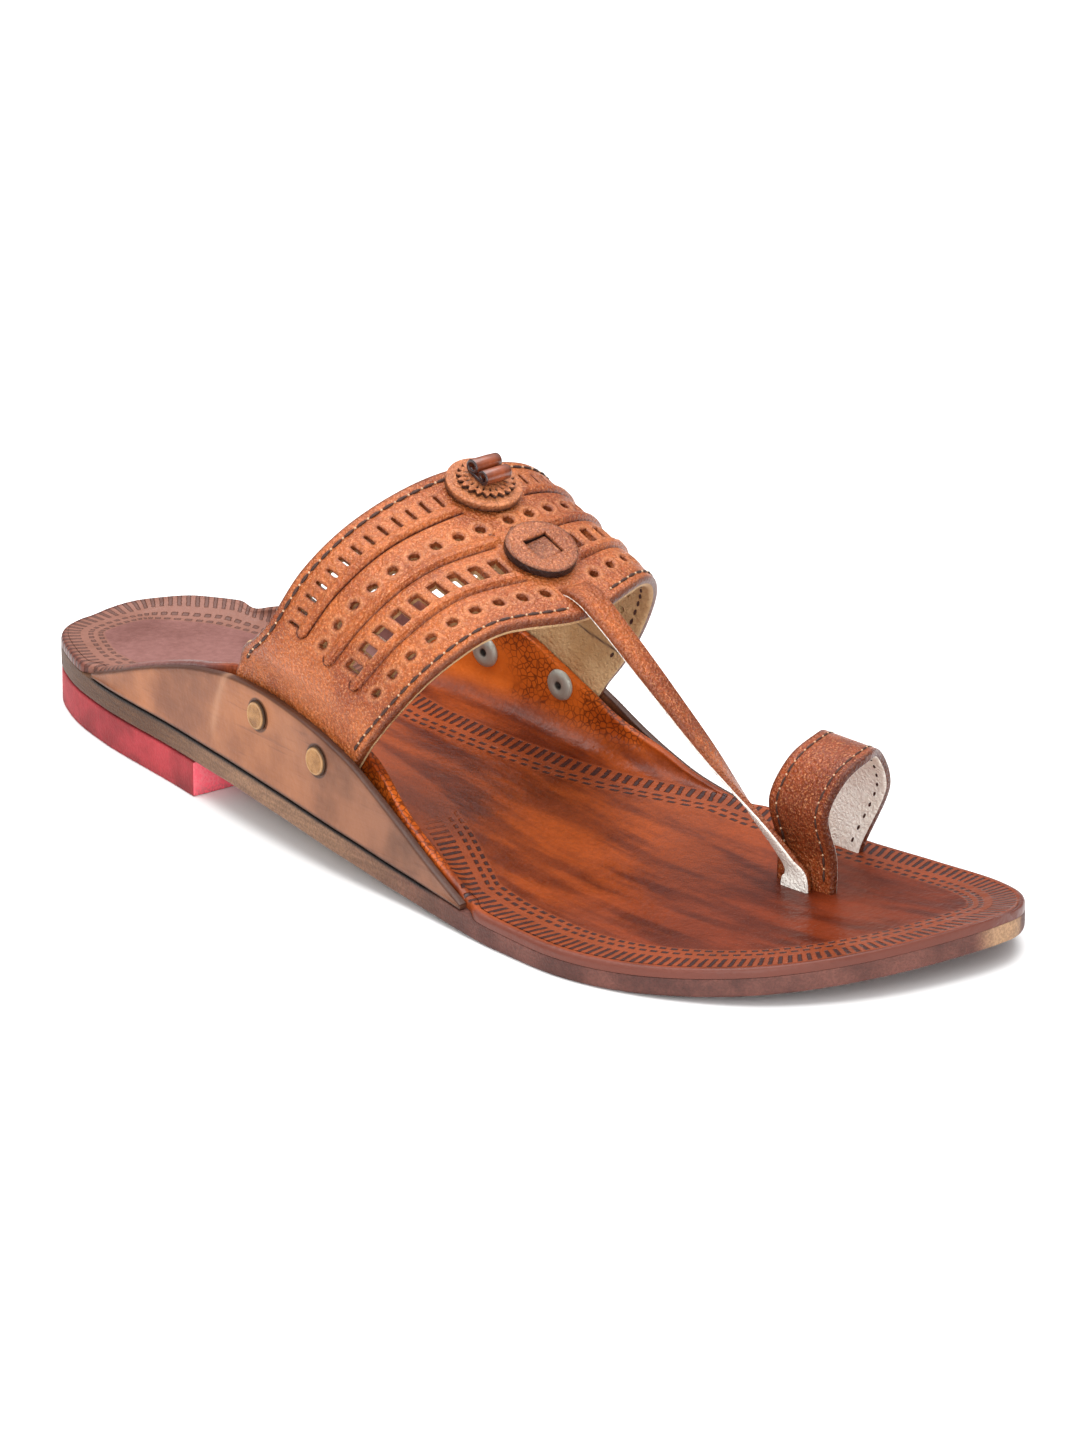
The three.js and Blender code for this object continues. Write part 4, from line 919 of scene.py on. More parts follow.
def brown_leather(name, light, dark, deep, flesh_light, flesh_dark):
    """Dyed, waxed brown leather with its pale flesh side where the lining layer is 1."""
    material, tree, shader = shader_of(name, light, roughness=0.42, coat=0.04, specular=0.36)
    where = add(tree, "TexCoord").outputs["Object"]
    clouds = mottled(tree, where, 1.3)
    brown = blend_colours(tree, clouds.outputs[0], light, dark)
    grain_and_glint_speckle = noise(tree, where, 2400.0)
    brown = blend_colours(tree, times(tree, clouds.outputs[1], 0.32), brown, deep)
    # Light speckles: partly grain tone, partly painted glints standing in for the grain's speckled
    # highlights.
    brown = blend_colours(tree, band_of(tree, grain_and_glint_speckle.outputs[0], 0.52, 0.68, 0.0, 0.4), brown,
                          paint(232, 160, 108))
    # Painted highlight: a lighter ring on the raised rims round the holes.
    brown = blend_colours(tree, times(tree, layer_of(tree, "ring"), 0.28), brown, paint(214, 146, 100))
    brown = blend_colours(tree, times(tree, layer_of(tree, "edge"), 0.75), brown, deep)
    brown = blend_colours(tree, times(tree, layer_of(tree, "hole"), 0.6), brown, paint(96, 44, 24))
    # Painted shade: a dark line along the front side of each raised strip, over its groove.
    strip_front_shade = band_of(tree, layer_of(tree, "line"), 0.45, 0.95)
    brown = blend_colours(tree, strip_front_shade, brown, paint(70, 26, 14))
    flesh = blend_colours(tree, clouds.outputs[0], flesh_light, flesh_dark)
    flesh = blend_colours(tree, times(tree, layer_of(tree, "mark"), 0.9), flesh, paint(34, 28, 40))
    lined = band_of(tree, layer_of(tree, "lining"), 0.50, 0.62)
    tree.links.new(blend_colours(tree, lined, brown, flesh), shader.inputs["Base Color"])
    tree.links.new(band_of(tree, lined, 0.0, 1.0, 0.38, 0.85), shader.inputs["Roughness"])
    pores = add(tree, "TexVoronoi", where, feature="F1")
    pores.inputs["Scale"].default_value = 1100.0
    grain = plus(tree, times(tree, pores.outputs[0], 0.9), plus(tree, clouds.outputs[1], grain_and_glint_speckle.outputs[0]))
    bump_from(tree, shader, grain, 0.20)
    return material


BEIGE, DARK_BEIGE = paint(206, 172, 128), paint(176, 136, 92)
CREAM, DARK_CREAM = paint(252, 248, 240), paint(240, 230, 216)
band_brown = brown_leather("band_leather", paint(184, 98, 46), paint(142, 64, 26), paint(70, 26, 10),
                           BEIGE, DARK_BEIGE)
band_flat.materials.append(band_brown)

# Toe strap
# A thin strap of the band's leather, drawn up through a slot near its front edge and down to the
# sole, where it turns a quarter and goes into the footbed between the first two toes.

STRAP_WIDTH, STRAP_LEATHER = 8.2, 1.6
STRAP_FOOT = (-0.292 * HALF_BALL, 0.8093 * LENGTH)
# share of its length, turn as a share of a quarter, width as a share
STRAP = np.array([
    (0.00, 0.00, 1.00), (0.25, 0.00, 0.80), (0.45, 0.11, 0.78), (0.60, 0.26, 0.82), (0.70, 0.43, 0.82),
    (0.80, 0.58, 0.82), (0.93, 0.70, 0.84), (0.97, 0.92, 0.95), (1.00, 1.00, 1.00),
])
RING_WIDTH, RING_LEATHER, RING_RISE = 17.0, 2.0, 30.8


def bed_top_at(y):
    return sole_top_at(y) + GAP + BED_LEATHER


def leather_layers(mesh, edge, **others):
    """The layers that the brown leather reads, all 0 apart from the edge and those given."""
    plain = {title: 0 * edge for title in ("lining", "line", "hole", "ring", "mark")}
    lay_values(mesh, {"edge": edge, **plain, **others})


def on_line(place, run, line):
    """The points at the given places on the run of a line."""
    return np.column_stack([np.interp(place, run, column) for column in line.T])


def rounded_loop(half_width, half_depth, corner):
    """The closed outline of a strap's cut end, with rounded corners."""
    loop = []
    for cx, cz, start in ((1, 1, 0), (-1, 1, 90), (-1, -1, 180), (1, -1, 270)):
        for a in np.radians(np.array([0, 30, 60, 90]) + start):
            loop.append((cx * (half_width - corner) + corner * np.cos(a),
                         cz * (half_depth - corner) + corner * np.sin(a)))
    return np.array(loop + loop[:1])


slot_s = SLOT_OFF * HALF_ARC[-1]
slot_around = float(around_at(slot_s))


def band_spot(across, lift):
    return on_band(np.array([slot_around]), np.array([across]), np.array([lift]))[0]


foot = np.array([STRAP_FOOT[0], STRAP_FOOT[1], float(bed_top_at(STRAP_FOOT[1]))])
over = band_spot(1.0, STRAP_LEATHER / 2)
belly = over + (foot - over) * 0.62 + np.array([-0.3, 4.0, -0.6])
strap_path = [band_spot(0.81, -1.96), band_spot(0.87, 0.2), band_spot(0.93, STRAP_LEATHER / 2 + 0.1),
              over, belly,
              foot + np.array([0, 0, 2 * STRAP_LEATHER]), foot, foot - np.array([0, 0, BED_LEATHER - 0.3])]
fine_path = flowing_line(strap_path, False, np.linspace(0, 1, 1601))
path_run = run_of(fine_path)
strap_mesh, around, along = flat_sheet("toe_strap_shape", 24, 170)
t = along * path_run[-1]
centre = on_line(t, path_run, fine_path)
ahead = on_line(np.minimum(t + 0.3, path_run[-1]), path_run, fine_path)
behind = on_line(np.maximum(t - 0.3, 0), path_run, fine_path)
tangent = (ahead - behind) / np.linalg.norm(ahead - behind, axis=1, keepdims=True)
level = np.array([[1.0, 0, 0]]) - tangent * tangent[:, :1]
level /= np.linalg.norm(level, axis=1, keepdims=True)
upright = np.cross(level, tangent)
above = np.minimum(1, t / (path_run[-1] - BED_LEATHER))
turn = (np.pi / 2) * column_at(STRAP, 1, above)[:, None]
wide = level * np.cos(turn) + upright * np.sin(turn)
face = np.cross(wide, tangent)
half_w = STRAP_WIDTH / 2
width_share = column_at(STRAP, 2, above)
loop = rounded_loop(half_w, STRAP_LEATHER / 2, 0.45)
rows = np.broadcast_to(loop, (len(t), *loop.shape))
section = along_profile(rows, around)
set_places(strap_mesh, centre + wide * (section[:, 0] * width_share)[:, None] + face * section[:, 1:])
strap_edge = ease(0.8, 0.3, half_w - np.abs(section[:, 0])) * 0.7
leather_layers(strap_mesh, strap_edge, lining=section[:, 1] < -0.2)
close_up(strap_mesh, 60)
strap = mesh_piece("toe_strap", strap_mesh)
strap_brown = brown_leather("strap_leather", paint(180, 92, 38), paint(142, 64, 24), paint(76, 28, 12),
                            CREAM, DARK_CREAM)
strap_mesh.materials.append(strap_brown)

# Toe ring
# A loop of lined leather for the big toe. Both ends go down through slots in the footbed, and a
# stitched seam follows each of its edges.

RING_FEET = (-0.853 * HALF_BALL, -0.330 * HALF_BALL, 0.791 * LENGTH, 0.843 * LENGTH)
# out and along between its feet, up of its rise, for the front edge
RING = [(0.0, 0.0, 0.0), (-0.015, 0.54, 0.56), (0.275, 0.80, 0.91), (0.640, 1.14, 1.00),
        (0.985, 1.19, 0.91), (1.150, 1.07, 0.63), (1.005, 1.01, 0.24), (1.0, 1.0, 0.0)]
ring_points = []
for out, fore, up in RING:
    base_y = RING_FEET[2] + np.clip(fore, 0, 1) * (RING_FEET[3] - RING_FEET[2])
    ring_points.append((RING_FEET[0] + out * (RING_FEET[1] - RING_FEET[0]),
                        RING_FEET[2] + fore * (RING_FEET[3] - RING_FEET[2]),
                        float(bed_top_at(base_y)) + up * RING_RISE))
ring_points = np.array(ring_points)
ring_points = np.vstack([ring_points[0] - [0, 0, 1.9], ring_points, ring_points[-1] - [0, 0, 1.9]])
fine_ring = flowing_line(ring_points, False, np.linspace(0, 1, 1601))
ring_run = run_of(fine_ring)


def on_ring(t, back, depth):
    """Places on the ring: along its front edge, back from it, and in from its outer face."""
    t = np.asarray(t, float)
    front = on_line(t, ring_run, fine_ring)
    ahead = on_line(np.minimum(t + 0.4, ring_run[-1]), ring_run, fine_ring)
    behind = on_line(np.maximum(t - 0.4, 0), ring_run, fine_ring)
    tangent = ahead - behind
    inward = np.column_stack([tangent[:, 2], 0 * t, -tangent[:, 0]])
    inward /= np.linalg.norm(inward, axis=1, keepdims=True)
    return front + np.outer(back, [0, -1.0, 0]) + inward * np.asarray(depth)[:, None]


ring_mesh, around, along = flat_sheet("toe_ring_shape", 60, 190)
t = along * ring_run[-1]
loop = []
corner = 0.55
for cx, cz, start in ((RING_WIDTH, 0, -90), (RING_WIDTH, RING_LEATHER, 0), (0, RING_LEATHER, 90),
                      (0, 0, 180)):
    for a in np.radians(np.array([0, 30, 60, 90]) + start):
        loop.append((abs(cx - corner) if cx else corner, abs(cz - corner) if cz else corner))
        loop[-1] = (loop[-1][0] + corner * np.cos(a), loop[-1][1] + corner * np.sin(a))
loop.append(loop[0])
loop = np.array(loop)
dense = []
for a, b in zip(loop[:-1], loop[1:]):
    pieces = max(1, int(np.linalg.norm(b - a) / 0.8))
    dense += [a + (b - a) * k / pieces for k in range(pieces)]
loop = np.array(dense + [loop[0]])
section = along_profile(np.broadcast_to(loop, (len(t), *loop.shape)), around)
edge_gap = np.minimum(section[:, 0], RING_WIDTH - section[:, 0])
outside = section[:, 1] < 0.6
groove = np.exp(-((edge_gap - 2.6) / 0.45) ** 2) * outside
set_places(ring_mesh, on_ring(t, section[:, 0], section[:, 1] + 0.22 * groove))
ring_lining = section[:, 1] > RING_LEATHER - 0.25
leather_layers(ring_mesh, ease(1.1, 0.3, edge_gap) * 0.8, lining=ring_lining, line=0.35 * groove)
close_up(ring_mesh, 60)
toe_ring = mesh_piece("toe_ring_stitched", ring_mesh)
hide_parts("toe_ring")
ring_brown = brown_leather("ring_leather", paint(148, 66, 26), paint(110, 42, 15), paint(58, 22, 10),
                           CREAM, DARK_CREAM)
ring_mesh.materials.append(ring_brown)

# Rear button
# A disc of tan leather under a smaller pinked one, with a glossy strip on top whose two ends are
# curled inwards. All three are fixed through the band.

BUTTON_SEAT, REAR_DISC, PINKED_DISC, PINKED_RADIUS, TEETH = 0.55, 2.0, 1.2, 5.9, 20
ROLL_LENGTH, ROLL_LEATHER, ROLL_RADIUS = 6.6, 1.3, 1.45


def turned_sheet(name, profile, sides, shape=None):
    """A closed sheet turned round a post from rows of radius and height."""
    profile = np.asarray(profile, float)
    mesh, around, along = flat_sheet(name + "_shape", sides, len(profile) - 1)
    row = np.rint(along * (len(profile) - 1)).astype(int)
    radius, height = profile[row, 0], profile[row, 1]
    angle = 2 * np.pi * around
    flat_places = np.column_stack([radius * np.cos(angle), radius * np.sin(angle), height])
    if shape is not None:
        flat_places = shape(flat_places, angle, row)
    return mesh, flat_places, row


def seat_on_band(mesh, flat_places, name, lift):
    """Bends a flat piece onto the band, over the middle of one of its buttons."""
    across, off = BUTTONS[name]
    s = off * HALF_ARC[-1 if off < 0 else 1] + flat_places[:, 0]
    set_places(mesh, on_band(around_at(s), across + flat_places[:, 1] / BAND_WIDTH, lift + flat_places[:, 2]))


def disc_profile(radius, leather, corner=0.35, inner=0.0):
    rows = [(inner, 0.0), ((inner + radius) / 2, 0.0), (radius - 0.2, 0.0), (radius, 0.2),
            (radius, leather - corner)]
    rows += [(radius - corner + corner * math.cos(a), leather - corner + corner * math.sin(a))
             for a in (0.5, 1.0, 1.57)]
    rows += [(inner + (radius - corner - inner) * s, leather) for s in (0.92, 0.8, 0.6, 0.4, 0.2, 0.0)]
    return rows


button_brown = brown_leather("button_leather", paint(172, 98, 60), paint(144, 76, 44), paint(40, 24, 22),
                             CREAM, DARK_CREAM)
rear_tan = brown_leather("rear_button_leather", paint(206, 130, 84), paint(172, 98, 58),
                         paint(48, 28, 22), CREAM, DARK_CREAM)
mesh, places, row = turned_sheet("rear_disc", disc_profile(BUTTON_RADIUS, REAR_DISC), 72)
leather_layers(mesh, ease(REAR_DISC - 0.2, REAR_DISC - 0.7, places[:, 2]) * 1.3)
seat_on_band(mesh, places, "rear", BUTTON_SEAT)
close_up(mesh, 60)
rear_disc = mesh_piece("rear_button_disc", mesh)
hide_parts("button_rear_disc")
mesh.materials.append(rear_tan)


def pinked(places, angle, row):
    """Cuts the rim of the disc into teeth and presses a hollow behind each of them."""
    reach = np.hypot(places[:, 0], places[:, 1]) / PINKED_RADIUS
    tooth = ease(0.72, 0.98, reach) * 0.09 * np.cos(angle * TEETH)
    places[:, :2] *= (1 + tooth)[:, None]
    hollow = np.exp(-((reach - 0.80) / 0.09) ** 2) * np.maximum(0, -np.cos(angle * TEETH))
    places[:, 2] -= 0.45 * hollow * (places[:, 2] > PINKED_DISC / 2)
    return places


mesh, places, row = turned_sheet("pinked_disc", disc_profile(PINKED_RADIUS, PINKED_DISC, 0.25), 240, pinked)
leather_layers(mesh, ease(PINKED_DISC - 0.1, PINKED_DISC - 0.35, places[:, 2]) * 1.5)
seat_on_band(mesh, places, "rear", BUTTON_SEAT + REAR_DISC + 0.1)
close_up(mesh, 60)
pinked_disc = mesh_piece("rear_button_pinked_disc", mesh)
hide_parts("button_rear_pinked_disc")
mesh.materials.append(rear_tan)

centre = ROLL_RADIUS + ROLL_LEATHER / 3
curl_line = []
for a in np.radians(np.linspace(-150, 270, 40)):
    shrink = ROLL_RADIUS * (0.42 + 0.58 * ease(-2.6, 1.2, a))
    curl_line.append((-centre + shrink * math.cos(a), ROLL_LEATHER / 2 + ROLL_RADIUS + shrink * math.sin(a)))
for a in np.radians(np.linspace(-90, 320, 40)):
    shrink = ROLL_RADIUS * 0.9 * (0.42 + 0.58 * ease(5.4, 1.6, a))
    curl_line.append((centre + shrink * math.cos(a),
                      ROLL_LEATHER / 2 + 0.9 * ROLL_RADIUS + shrink * math.sin(a)))
curl_line = np.array(curl_line)
mesh, share, along = flat_sheet("roll_shape", 24, 160)
last = len(curl_line) - 1
curl_run = np.arange(last + 1)
spot = on_line(along * last, curl_run, curl_line)
ahead = on_line(np.minimum(along + 0.004, 1) * last, curl_run, curl_line)
behind = on_line(np.maximum(along - 0.004, 0) * last, curl_run, curl_line)
run = ahead - behind
run /= np.linalg.norm(run, axis=1, keepdims=True)
thin = 0.72 * ROLL_LEATHER / 2
loop = rounded_loop(ROLL_LENGTH / 2, thin, 0.3)
section = along_profile(np.broadcast_to(loop, (len(along), *loop.shape)), share)
bent = np.column_stack([section[:, 0], spot[:, 0] - run[:, 1] * section[:, 1],
                        spot[:, 1] + run[:, 0] * section[:, 1]])
leather_layers(mesh, ease(ROLL_LENGTH / 2 - 0.45, ROLL_LENGTH / 2 - 0.1, np.abs(section[:, 0])))
seat_on_band(mesh, bent, "rear", BUTTON_SEAT + REAR_DISC + PINKED_DISC + 0.2)
close_up(mesh, 60)
roll = mesh_piece("rear_button_roll", mesh)
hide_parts("button_rear_roll")
roll_brown, tree, shader = shader_of("roll_leather", paint(146, 76, 48), roughness=0.24, coat=0.4)
dark = layer_of(tree, "edge")
where = add(tree, "TexCoord").outputs["Object"]
clouds = mottled(tree, where, 4.0)
brown = blend_colours(tree, clouds.outputs[0], paint(104, 44, 20), paint(150, 74, 40))
tree.links.new(blend_colours(tree, dark, brown, paint(40, 24, 26)), shader.inputs["Base Color"])
mesh.materials.append(roll_brown)

# Front button
# A round of tan leather with a thick dark edge and a square window, with a small leather tab in
# it that is pressed in at its rear outer corner.

FRONT_DISC, TAB_SIZE, TAB_LEATHER = 2.2, 6.2, 2.0
WINDOW = TAB_SIZE / 2 + GAP


def windowed(places, angle, row):
    """Draws the inner rim of the ring-shaped disc out into a square."""
    reach = np.hypot(places[:, 0], places[:, 1])
    square = WINDOW / np.maximum(np.abs(np.cos(angle)), np.abs(np.sin(angle)))
    share = np.clip((reach - WINDOW) / (BUTTON_RADIUS - WINDOW), 0, 1)
    new_reach = square + (BUTTON_RADIUS - square) * share
    places[:, :2] *= (new_reach / reach)[:, None]
    return places


profile = disc_profile(BUTTON_RADIUS, FRONT_DISC, 0.4, WINDOW)
profile[-1] = (WINDOW + 0.12, FRONT_DISC)
profile += [(WINDOW, FRONT_DISC - 0.12), (WINDOW, FRONT_DISC / 2), (WINDOW, 0.0)]
mesh, places, row = turned_sheet("front_disc", profile, 80, windowed)
reach = np.hypot(places[:, 0], places[:, 1])
dark_side = ease(FRONT_DISC - 0.15, FRONT_DISC - 0.5, places[:, 2]) * 1.7
dark_rim = 0.6 * ease(BUTTON_RADIUS - 0.9, BUTTON_RADIUS - 0.3, reach)
leather_layers(mesh, dark_side + dark_rim)
seat_on_band(mesh, places, "front", BUTTON_SEAT)
close_up(mesh, 60)
front_disc = mesh_piece("front_button_disc", mesh)
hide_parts("button_front_disc")
mesh.materials.append(button_brown)

bm = bmesh.new()
bmesh.ops.create_cube(bm, size=1.0)
bmesh.ops.subdivide_edges(bm, edges=bm.edges[:], cuts=3, use_grid_fill=True)
bmesh.ops.scale(bm, vec=(TAB_SIZE, TAB_SIZE, TAB_LEATHER), verts=bm.verts)
bmesh.ops.translate(bm, vec=(0, 0, TAB_LEATHER / 2), verts=bm.verts)
corners = [edge for edge in bm.edges if edge.calc_face_angle(0.0) > 1.0]
bmesh.ops.bevel(bm, geom=corners, offset=0.3, offset_type="OFFSET", segments=3, profile=0.5,
                affect="EDGES", material=-1)
mesh = bpy.data.meshes.new("tab_shape")
bm.to_mesh(mesh)
bm.free()
places = read_places(mesh)
pressed = ease(-0.9, 1.0, (places[:, 0] - places[:, 1]) / TAB_SIZE)
top = places[:, 2] / TAB_LEATHER
places[:, 2] -= top * (0.2 + 0.75 * pressed)
# Painted shade: the tab's top darkens towards its pressed-in rear outer corner; its sides are dark cut edges.
leather_layers(mesh, 0.15 + 0.5 * pressed * (top > 0.9) + 1.0 * (top < 0.8))
seat_on_band(mesh, places, "front", BUTTON_SEAT)
close_up(mesh, 60)
front_tab = mesh_piece("front_button_tab", mesh)
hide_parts("button_front_tab")
mesh.materials.append(button_brown)

# Rivets
# Short brass rivets go through outer ear, band and inner ear. Each has a flat head outside that
# is pressed into the leather, and a punched washer inside.

HEAD_RADIUS, HEAD_HEIGHT, SHANK_RADIUS, WASHER_RADIUS, WASHER_HEIGHT = 3.5, 0.9, 1.4, 3.7, 1.0
STACK = EAR_LEATHER + BAND_LEATHER + BED_LEATHER + 2 * GAP

brass, tree, shader = shader_of("brass", paint(206, 160, 112), roughness=0.36, metallic=0.6)
where = add(tree, "TexCoord").outputs["Object"]
clouds = mottled(tree, where, 6.0)
rim = layer_of(tree, "rim")
middle = blend_colours(tree, clouds.outputs[0], paint(132, 88, 48), paint(184, 136, 84))
whole = blend_colours(tree, times(tree, rim, 0.35), middle, paint(206, 170, 128))
steel = layer_of(tree, "steel")
whole = blend_colours(tree, steel, whole, paint(176, 176, 166))
# Painted shade: the head's outer edge, where it sinks into the ear, and the hollow middle of the washer are
# painted dark.
deep = layer_of(tree, "deep")
tree.links.new(blend_colours(tree, deep, whole, paint(40, 26, 22)), shader.inputs["Base Color"])
bump_from(tree, shader, clouds.outputs[1], 0.05)


def rivet_profile():
    back = -STACK - GAP
    dimple = SHANK_RADIUS * 0.8
    rows = [(0.0, GAP + 0.55 * HEAD_HEIGHT), (1.3, GAP + 0.54 * HEAD_HEIGHT), (2.3, GAP + 0.50 * HEAD_HEIGHT),
            (2.55, GAP + 0.46 * HEAD_HEIGHT), (2.8, GAP + 0.56 * HEAD_HEIGHT),
            (3.0, GAP + 0.54 * HEAD_HEIGHT),
            (3.25, GAP + 0.2 * HEAD_HEIGHT), (HEAD_RADIUS, GAP), (HEAD_RADIUS - 0.1, -0.35),
            (SHANK_RADIUS, -0.35),
            (SHANK_RADIUS, back + 0.35), (WASHER_RADIUS - 0.2, back + 0.35), (WASHER_RADIUS, back),
            (WASHER_RADIUS - 0.15, back - 0.45), (WASHER_RADIUS - 0.6, back - 0.8),
            (2.6, back - WASHER_HEIGHT),
            (1.9, back - WASHER_HEIGHT), (1.2, back - 0.92), (0.8, back - 0.7),
            (0.6, back + 0.2), (0.0, back + 0.2)]
    return rows


for side, word in ((1, "lateral"), (-1, "medial")):
    for name, along_share, lateral_share, medial_share in RIVETS:
        rivet_y = along_share * LENGTH
        rivet_up = EAR_RISE * (lateral_share if side > 0 else medial_share)

        def ear_spot(dy, dz):
            """A place on the outer face of the ear, beside the rivet's middle."""
            y, up = rivet_y + dy, rivet_up + dz
            return np.array([side * float(ear_face_at(side, y, up)), y, float(sole_top_at(y)) + up])

        out = side * np.cross(ear_spot(1, 0) - ear_spot(-1, 0), ear_spot(0, 1) - ear_spot(0, -1))
        out /= np.linalg.norm(out)
        sideways = np.cross((0, 0, 1.0), out)
        sideways /= np.linalg.norm(sideways)
        mesh, places, row = turned_sheet(f"rivet_{word}_{name}", rivet_profile(), 40)
        lay_values(mesh, {
            "rim": np.isin(row, (4, 5)),
            # painted shade on the head's outer edge and in the washer's hollow middle
            "deep": ((row > 17) | np.isin(row, (6, 7, 8))) * 0.9,
            "steel": row > 9,
        })
        upwards = np.cross(out, sideways)
        set_places(mesh, ear_spot(0, 0) + np.outer(places[:, 0], sideways) + np.outer(places[:, 1], upwards)
                   + np.outer(places[:, 2], out))
        close_up(mesh, 45)
        rivet = mesh_piece(f"rivet_{word}_{name}_brass", mesh)
        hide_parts(f"rivet_{word}_{name}")
        mesh.materials.append(brass)

# Stitches
# Waxed dark thread, sewn along both edges of the band and of the toe ring in even stitches that
# lie in a shallow channel. Short pale dashes between the stitches are painted highlights.

def thread_of(name, first, second):
    material, tree, shader = shader_of(name, first, roughness=0.6, specular=0.3)
    where = add(tree, "TexCoord").outputs["Object"]
    twist = noise(tree, where, 2500.0)
    tree.links.new(blend_colours(tree, twist.outputs[0], first, second), shader.inputs["Base Color"])
    bump_from(tree, shader, twist.outputs[0], 0.05)
    return material


dark_thread = thread_of("dark_thread", paint(40, 26, 26), paint(84, 54, 42))
# Painted highlights: short pale dashes laid between the dark stitches.
painted_stitch_highlight = thread_of("painted_stitch_highlight", paint(214, 184, 152), paint(176, 138, 108))


def sew(name, stitches, thickness, material):
    """One mesh of stitches, each a short fat capsule from one place to another along a normal."""
    bm = bmesh.new()
    for start, end, normal in stitches:
        start, end, normal = Vector(start), Vector(end), Vector(normal)
        length = (end - start).length
        made = bmesh.ops.create_uvsphere(bm, u_segments=6, v_segments=5, radius=0.5)
        run = (end - start).normalized()
        across = normal.cross(run).normalized()
        turn = Matrix((across, run.cross(across), run)).transposed().to_4x4()
        fat = Matrix.Diagonal((thickness, thickness, length, 1.0))
        bmesh.ops.transform(bm, matrix=Matrix.Translation((start + end) / 2) @ turn @ fat,
                            verts=made["verts"])
    for face in bm.faces:
        face.smooth = True
    mesh = bpy.data.meshes.new(name + "_shape")
    bm.to_mesh(mesh)
    bm.free()
    set_places(mesh, read_places(mesh))
    piece = mesh_piece(name, mesh)
    mesh.materials.append(material)
    return piece


def band_seam(across_mm, step, first, last, length, lift):
    """Stitches along the band at one distance from its rear edge."""
    spots = np.arange(first, last, step)
    share = np.full(len(spots), across_mm / BAND_WIDTH)
    if across_mm > BAND_WIDTH / 2 and lift > -1:
        clear = np.abs(spots - slot_s + length / 2) > STRAP_WIDTH / 2 + 2
        spots, share = spots[clear], share[clear]
    level = np.full(len(spots), lift)
    a = on_band(around_at(spots), share, level)
    b = on_band(around_at(spots + length), share, level)
    raised = on_band(around_at(spots), share, level + (1 if lift > -1 else -1))
    return list(zip(a, b, raised - a))


def ring_seam(back, depth, length, shift):
    """Stitches round the toe ring at one distance back from its front edge."""
    spots = np.arange(3.0 + shift, ring_run[-1] - 5.0, STITCH_STEP)
    out = -1.0 if depth < 1 else 1.0
    a, b, c = (on_ring(spots + along, np.full(len(spots), back), np.full(len(spots), level))
               for along, level in ((0, depth), (length, depth), (0, depth + out)))
    return list(zip(a, b, c - a))


BAND_SEAM, RING_SEAM, STITCH_STEP = 2.8, 2.6, 3.5
low_end, high_end = 23 - HALF_ARC[-1], HALF_ARC[1] - 20
dark_seams = band_seam(BAND_SEAM, STITCH_STEP, low_end, high_end, 2.9, 0.02)
dark_seams += band_seam(BAND_WIDTH - BAND_SEAM, STITCH_STEP, low_end, high_end, 2.9, 0.02)
stitch_highlight_spots = band_seam(BAND_SEAM, STITCH_STEP, low_end + 2.95, high_end - 1, 0.5, 0.06)
stitch_highlight_spots += band_seam(BAND_WIDTH - BAND_SEAM, STITCH_STEP, low_end + 2.95, high_end - 1, 0.5, 0.06)
lining_seams = band_seam(BAND_WIDTH - 3.6, 3.6, low_end, high_end, 2.2, -BAND_LEATHER - 0.05)
sew("band_stitches", dark_seams + lining_seams, 0.8, dark_thread)
sew("band_stitch_highlights", stitch_highlight_spots, 0.62, painted_stitch_highlight)
dark_seams = ring_seam(RING_SEAM, 0.1, 2.8, 0) + ring_seam(RING_WIDTH - RING_SEAM, 0.1, 2.8, 0)
dark_seams += ring_seam(RING_SEAM, RING_LEATHER, 1.4, 0.6)
dark_seams += ring_seam(RING_WIDTH - RING_SEAM, RING_LEATHER, 1.4, 0.6)
stitch_highlight_spots = ring_seam(RING_SEAM, 0.04, 0.5, 2.9) + ring_seam(RING_WIDTH - RING_SEAM, 0.04, 0.5, 2.9)
sew("ring_stitches", dark_seams, 0.65, dark_thread)
sew("ring_stitch_highlights", stitch_highlight_spots, 0.5, painted_stitch_highlight)

# Floor, light and camera
# A plain pale floor under large soft lamps, seen from the outer front corner of the sandal.

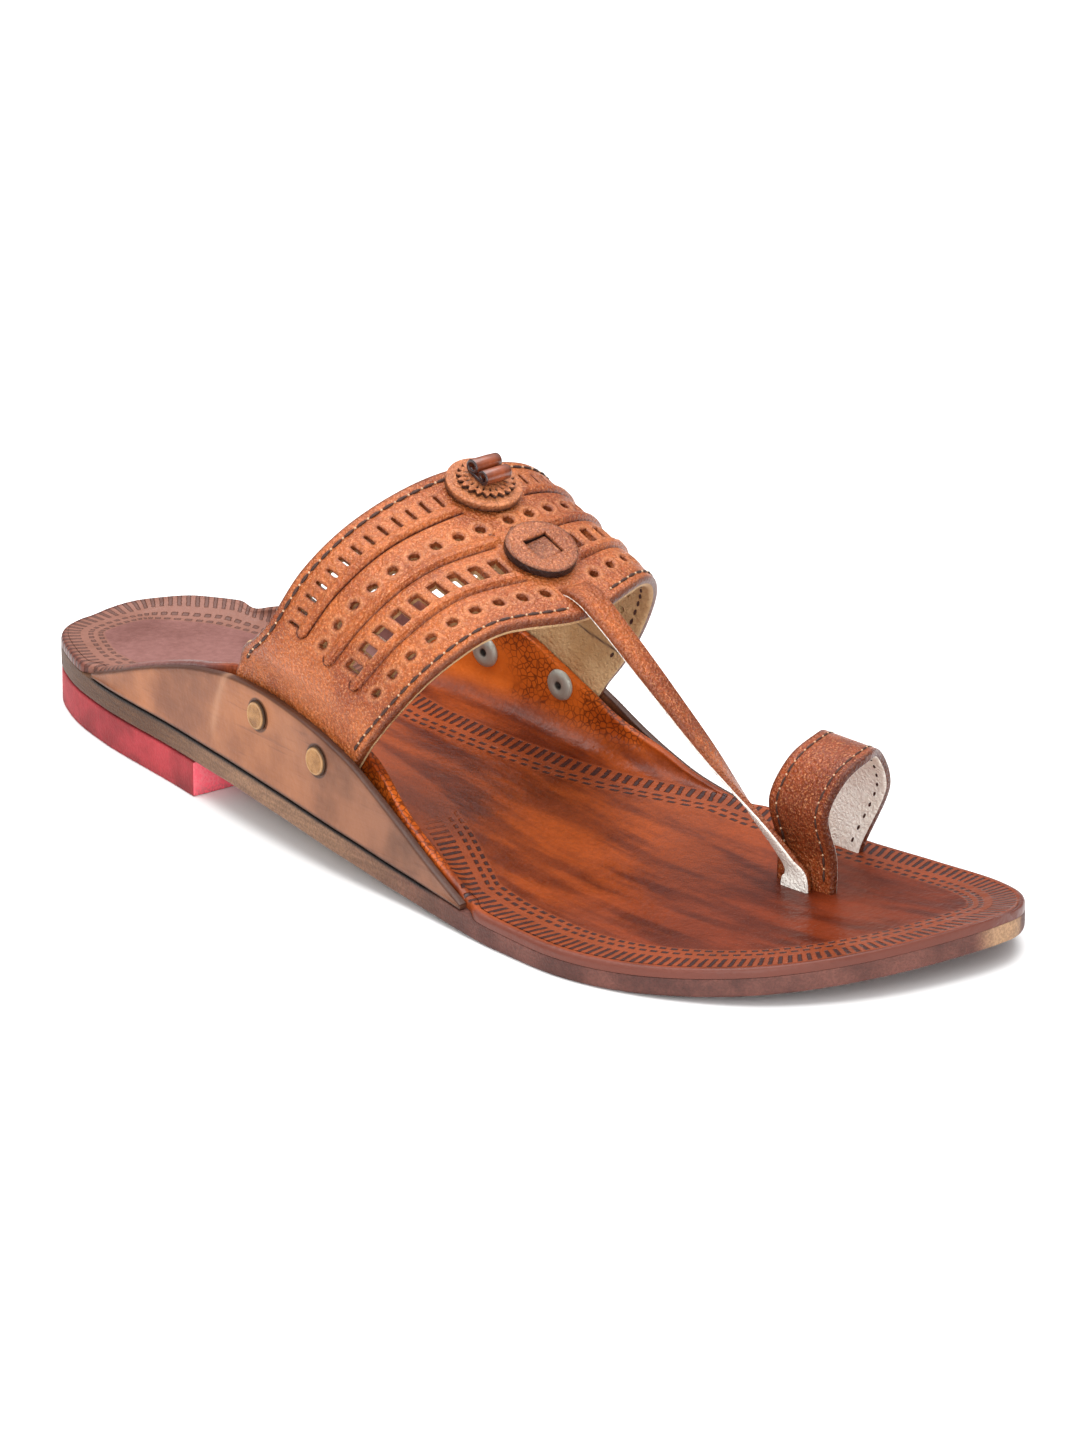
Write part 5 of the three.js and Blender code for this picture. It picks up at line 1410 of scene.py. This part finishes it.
bm = bmesh.new()
bmesh.ops.create_grid(bm, x_segments=1, y_segments=1, size=4.0)
floor_mesh = bpy.data.meshes.new("floor")
bm.to_mesh(floor_mesh)
bm.free()
floor = bpy.data.objects.new("floor", floor_mesh)
bpy.context.collection.objects.link(floor)
floor_white, tree, shader = shader_of("floor_white", (0.93, 0.93, 0.93), roughness=0.9, specular=0.1)
floor_mesh.materials.append(floor_white)

scene = bpy.context.scene
scene.view_settings.view_transform = "Standard"
world = bpy.data.worlds.new("studio")
world.use_nodes = True
sky = world.node_tree
height = add(sky, "SeparateXYZ", add(sky, "TexCoord").outputs["Generated"]).outputs[2]
sky.nodes["Background"].inputs[0].default_value = (1.0, 1.0, 1.0, 1.0)
sky.links.new(band_of(sky, height, 0.2, 0.85, 0.16, 1.15), sky.nodes["Background"].inputs[1])
scene.world = world


def lamp(name, place, aim, size, power):
    light = bpy.data.lights.new(name, "AREA")
    light.shape = "DISK"
    light.size = size
    light.energy = power
    holder = bpy.data.objects.new(name, light)
    holder.location = place
    holder.rotation_euler = (Vector(aim) - Vector(place)).to_track_quat("-Z", "Y").to_euler()
    bpy.context.collection.objects.link(holder)
    return holder


lamp("top_lamp", (-0.1, -0.12, 1.5), (0, 0, 0), 1.8, 30)
lamp("front_lamp", (1.35, 0.75, 0.75), (0, 0, 0.03), 1.0, 9)
lamp("fill_lamp", (1.0, 1.25, 0.3), (0, 0.08, 0.02), 0.7, 9)

camera_data = bpy.data.cameras.new("camera")
camera_data.lens = 189.0
camera_data.sensor_width = 36.0
camera_data.sensor_fit = "AUTO"
camera = bpy.data.objects.new("camera", camera_data)
ahead_way = Vector((-0.6462, -0.6756, -0.3549)).normalized()
right_way = ahead_way.cross(Vector((0.0, 0.0, 1.0))).normalized()
up_way = right_way.cross(ahead_way)
pose = Matrix((right_way, up_way, -ahead_way)).transposed().to_4x4()
pose.translation = (Vector((1082.8, 1284.4, 626.0)) - Vector(MIDDLE)) * MM
camera.matrix_world = pose
bpy.context.collection.objects.link(camera)
scene.camera = camera
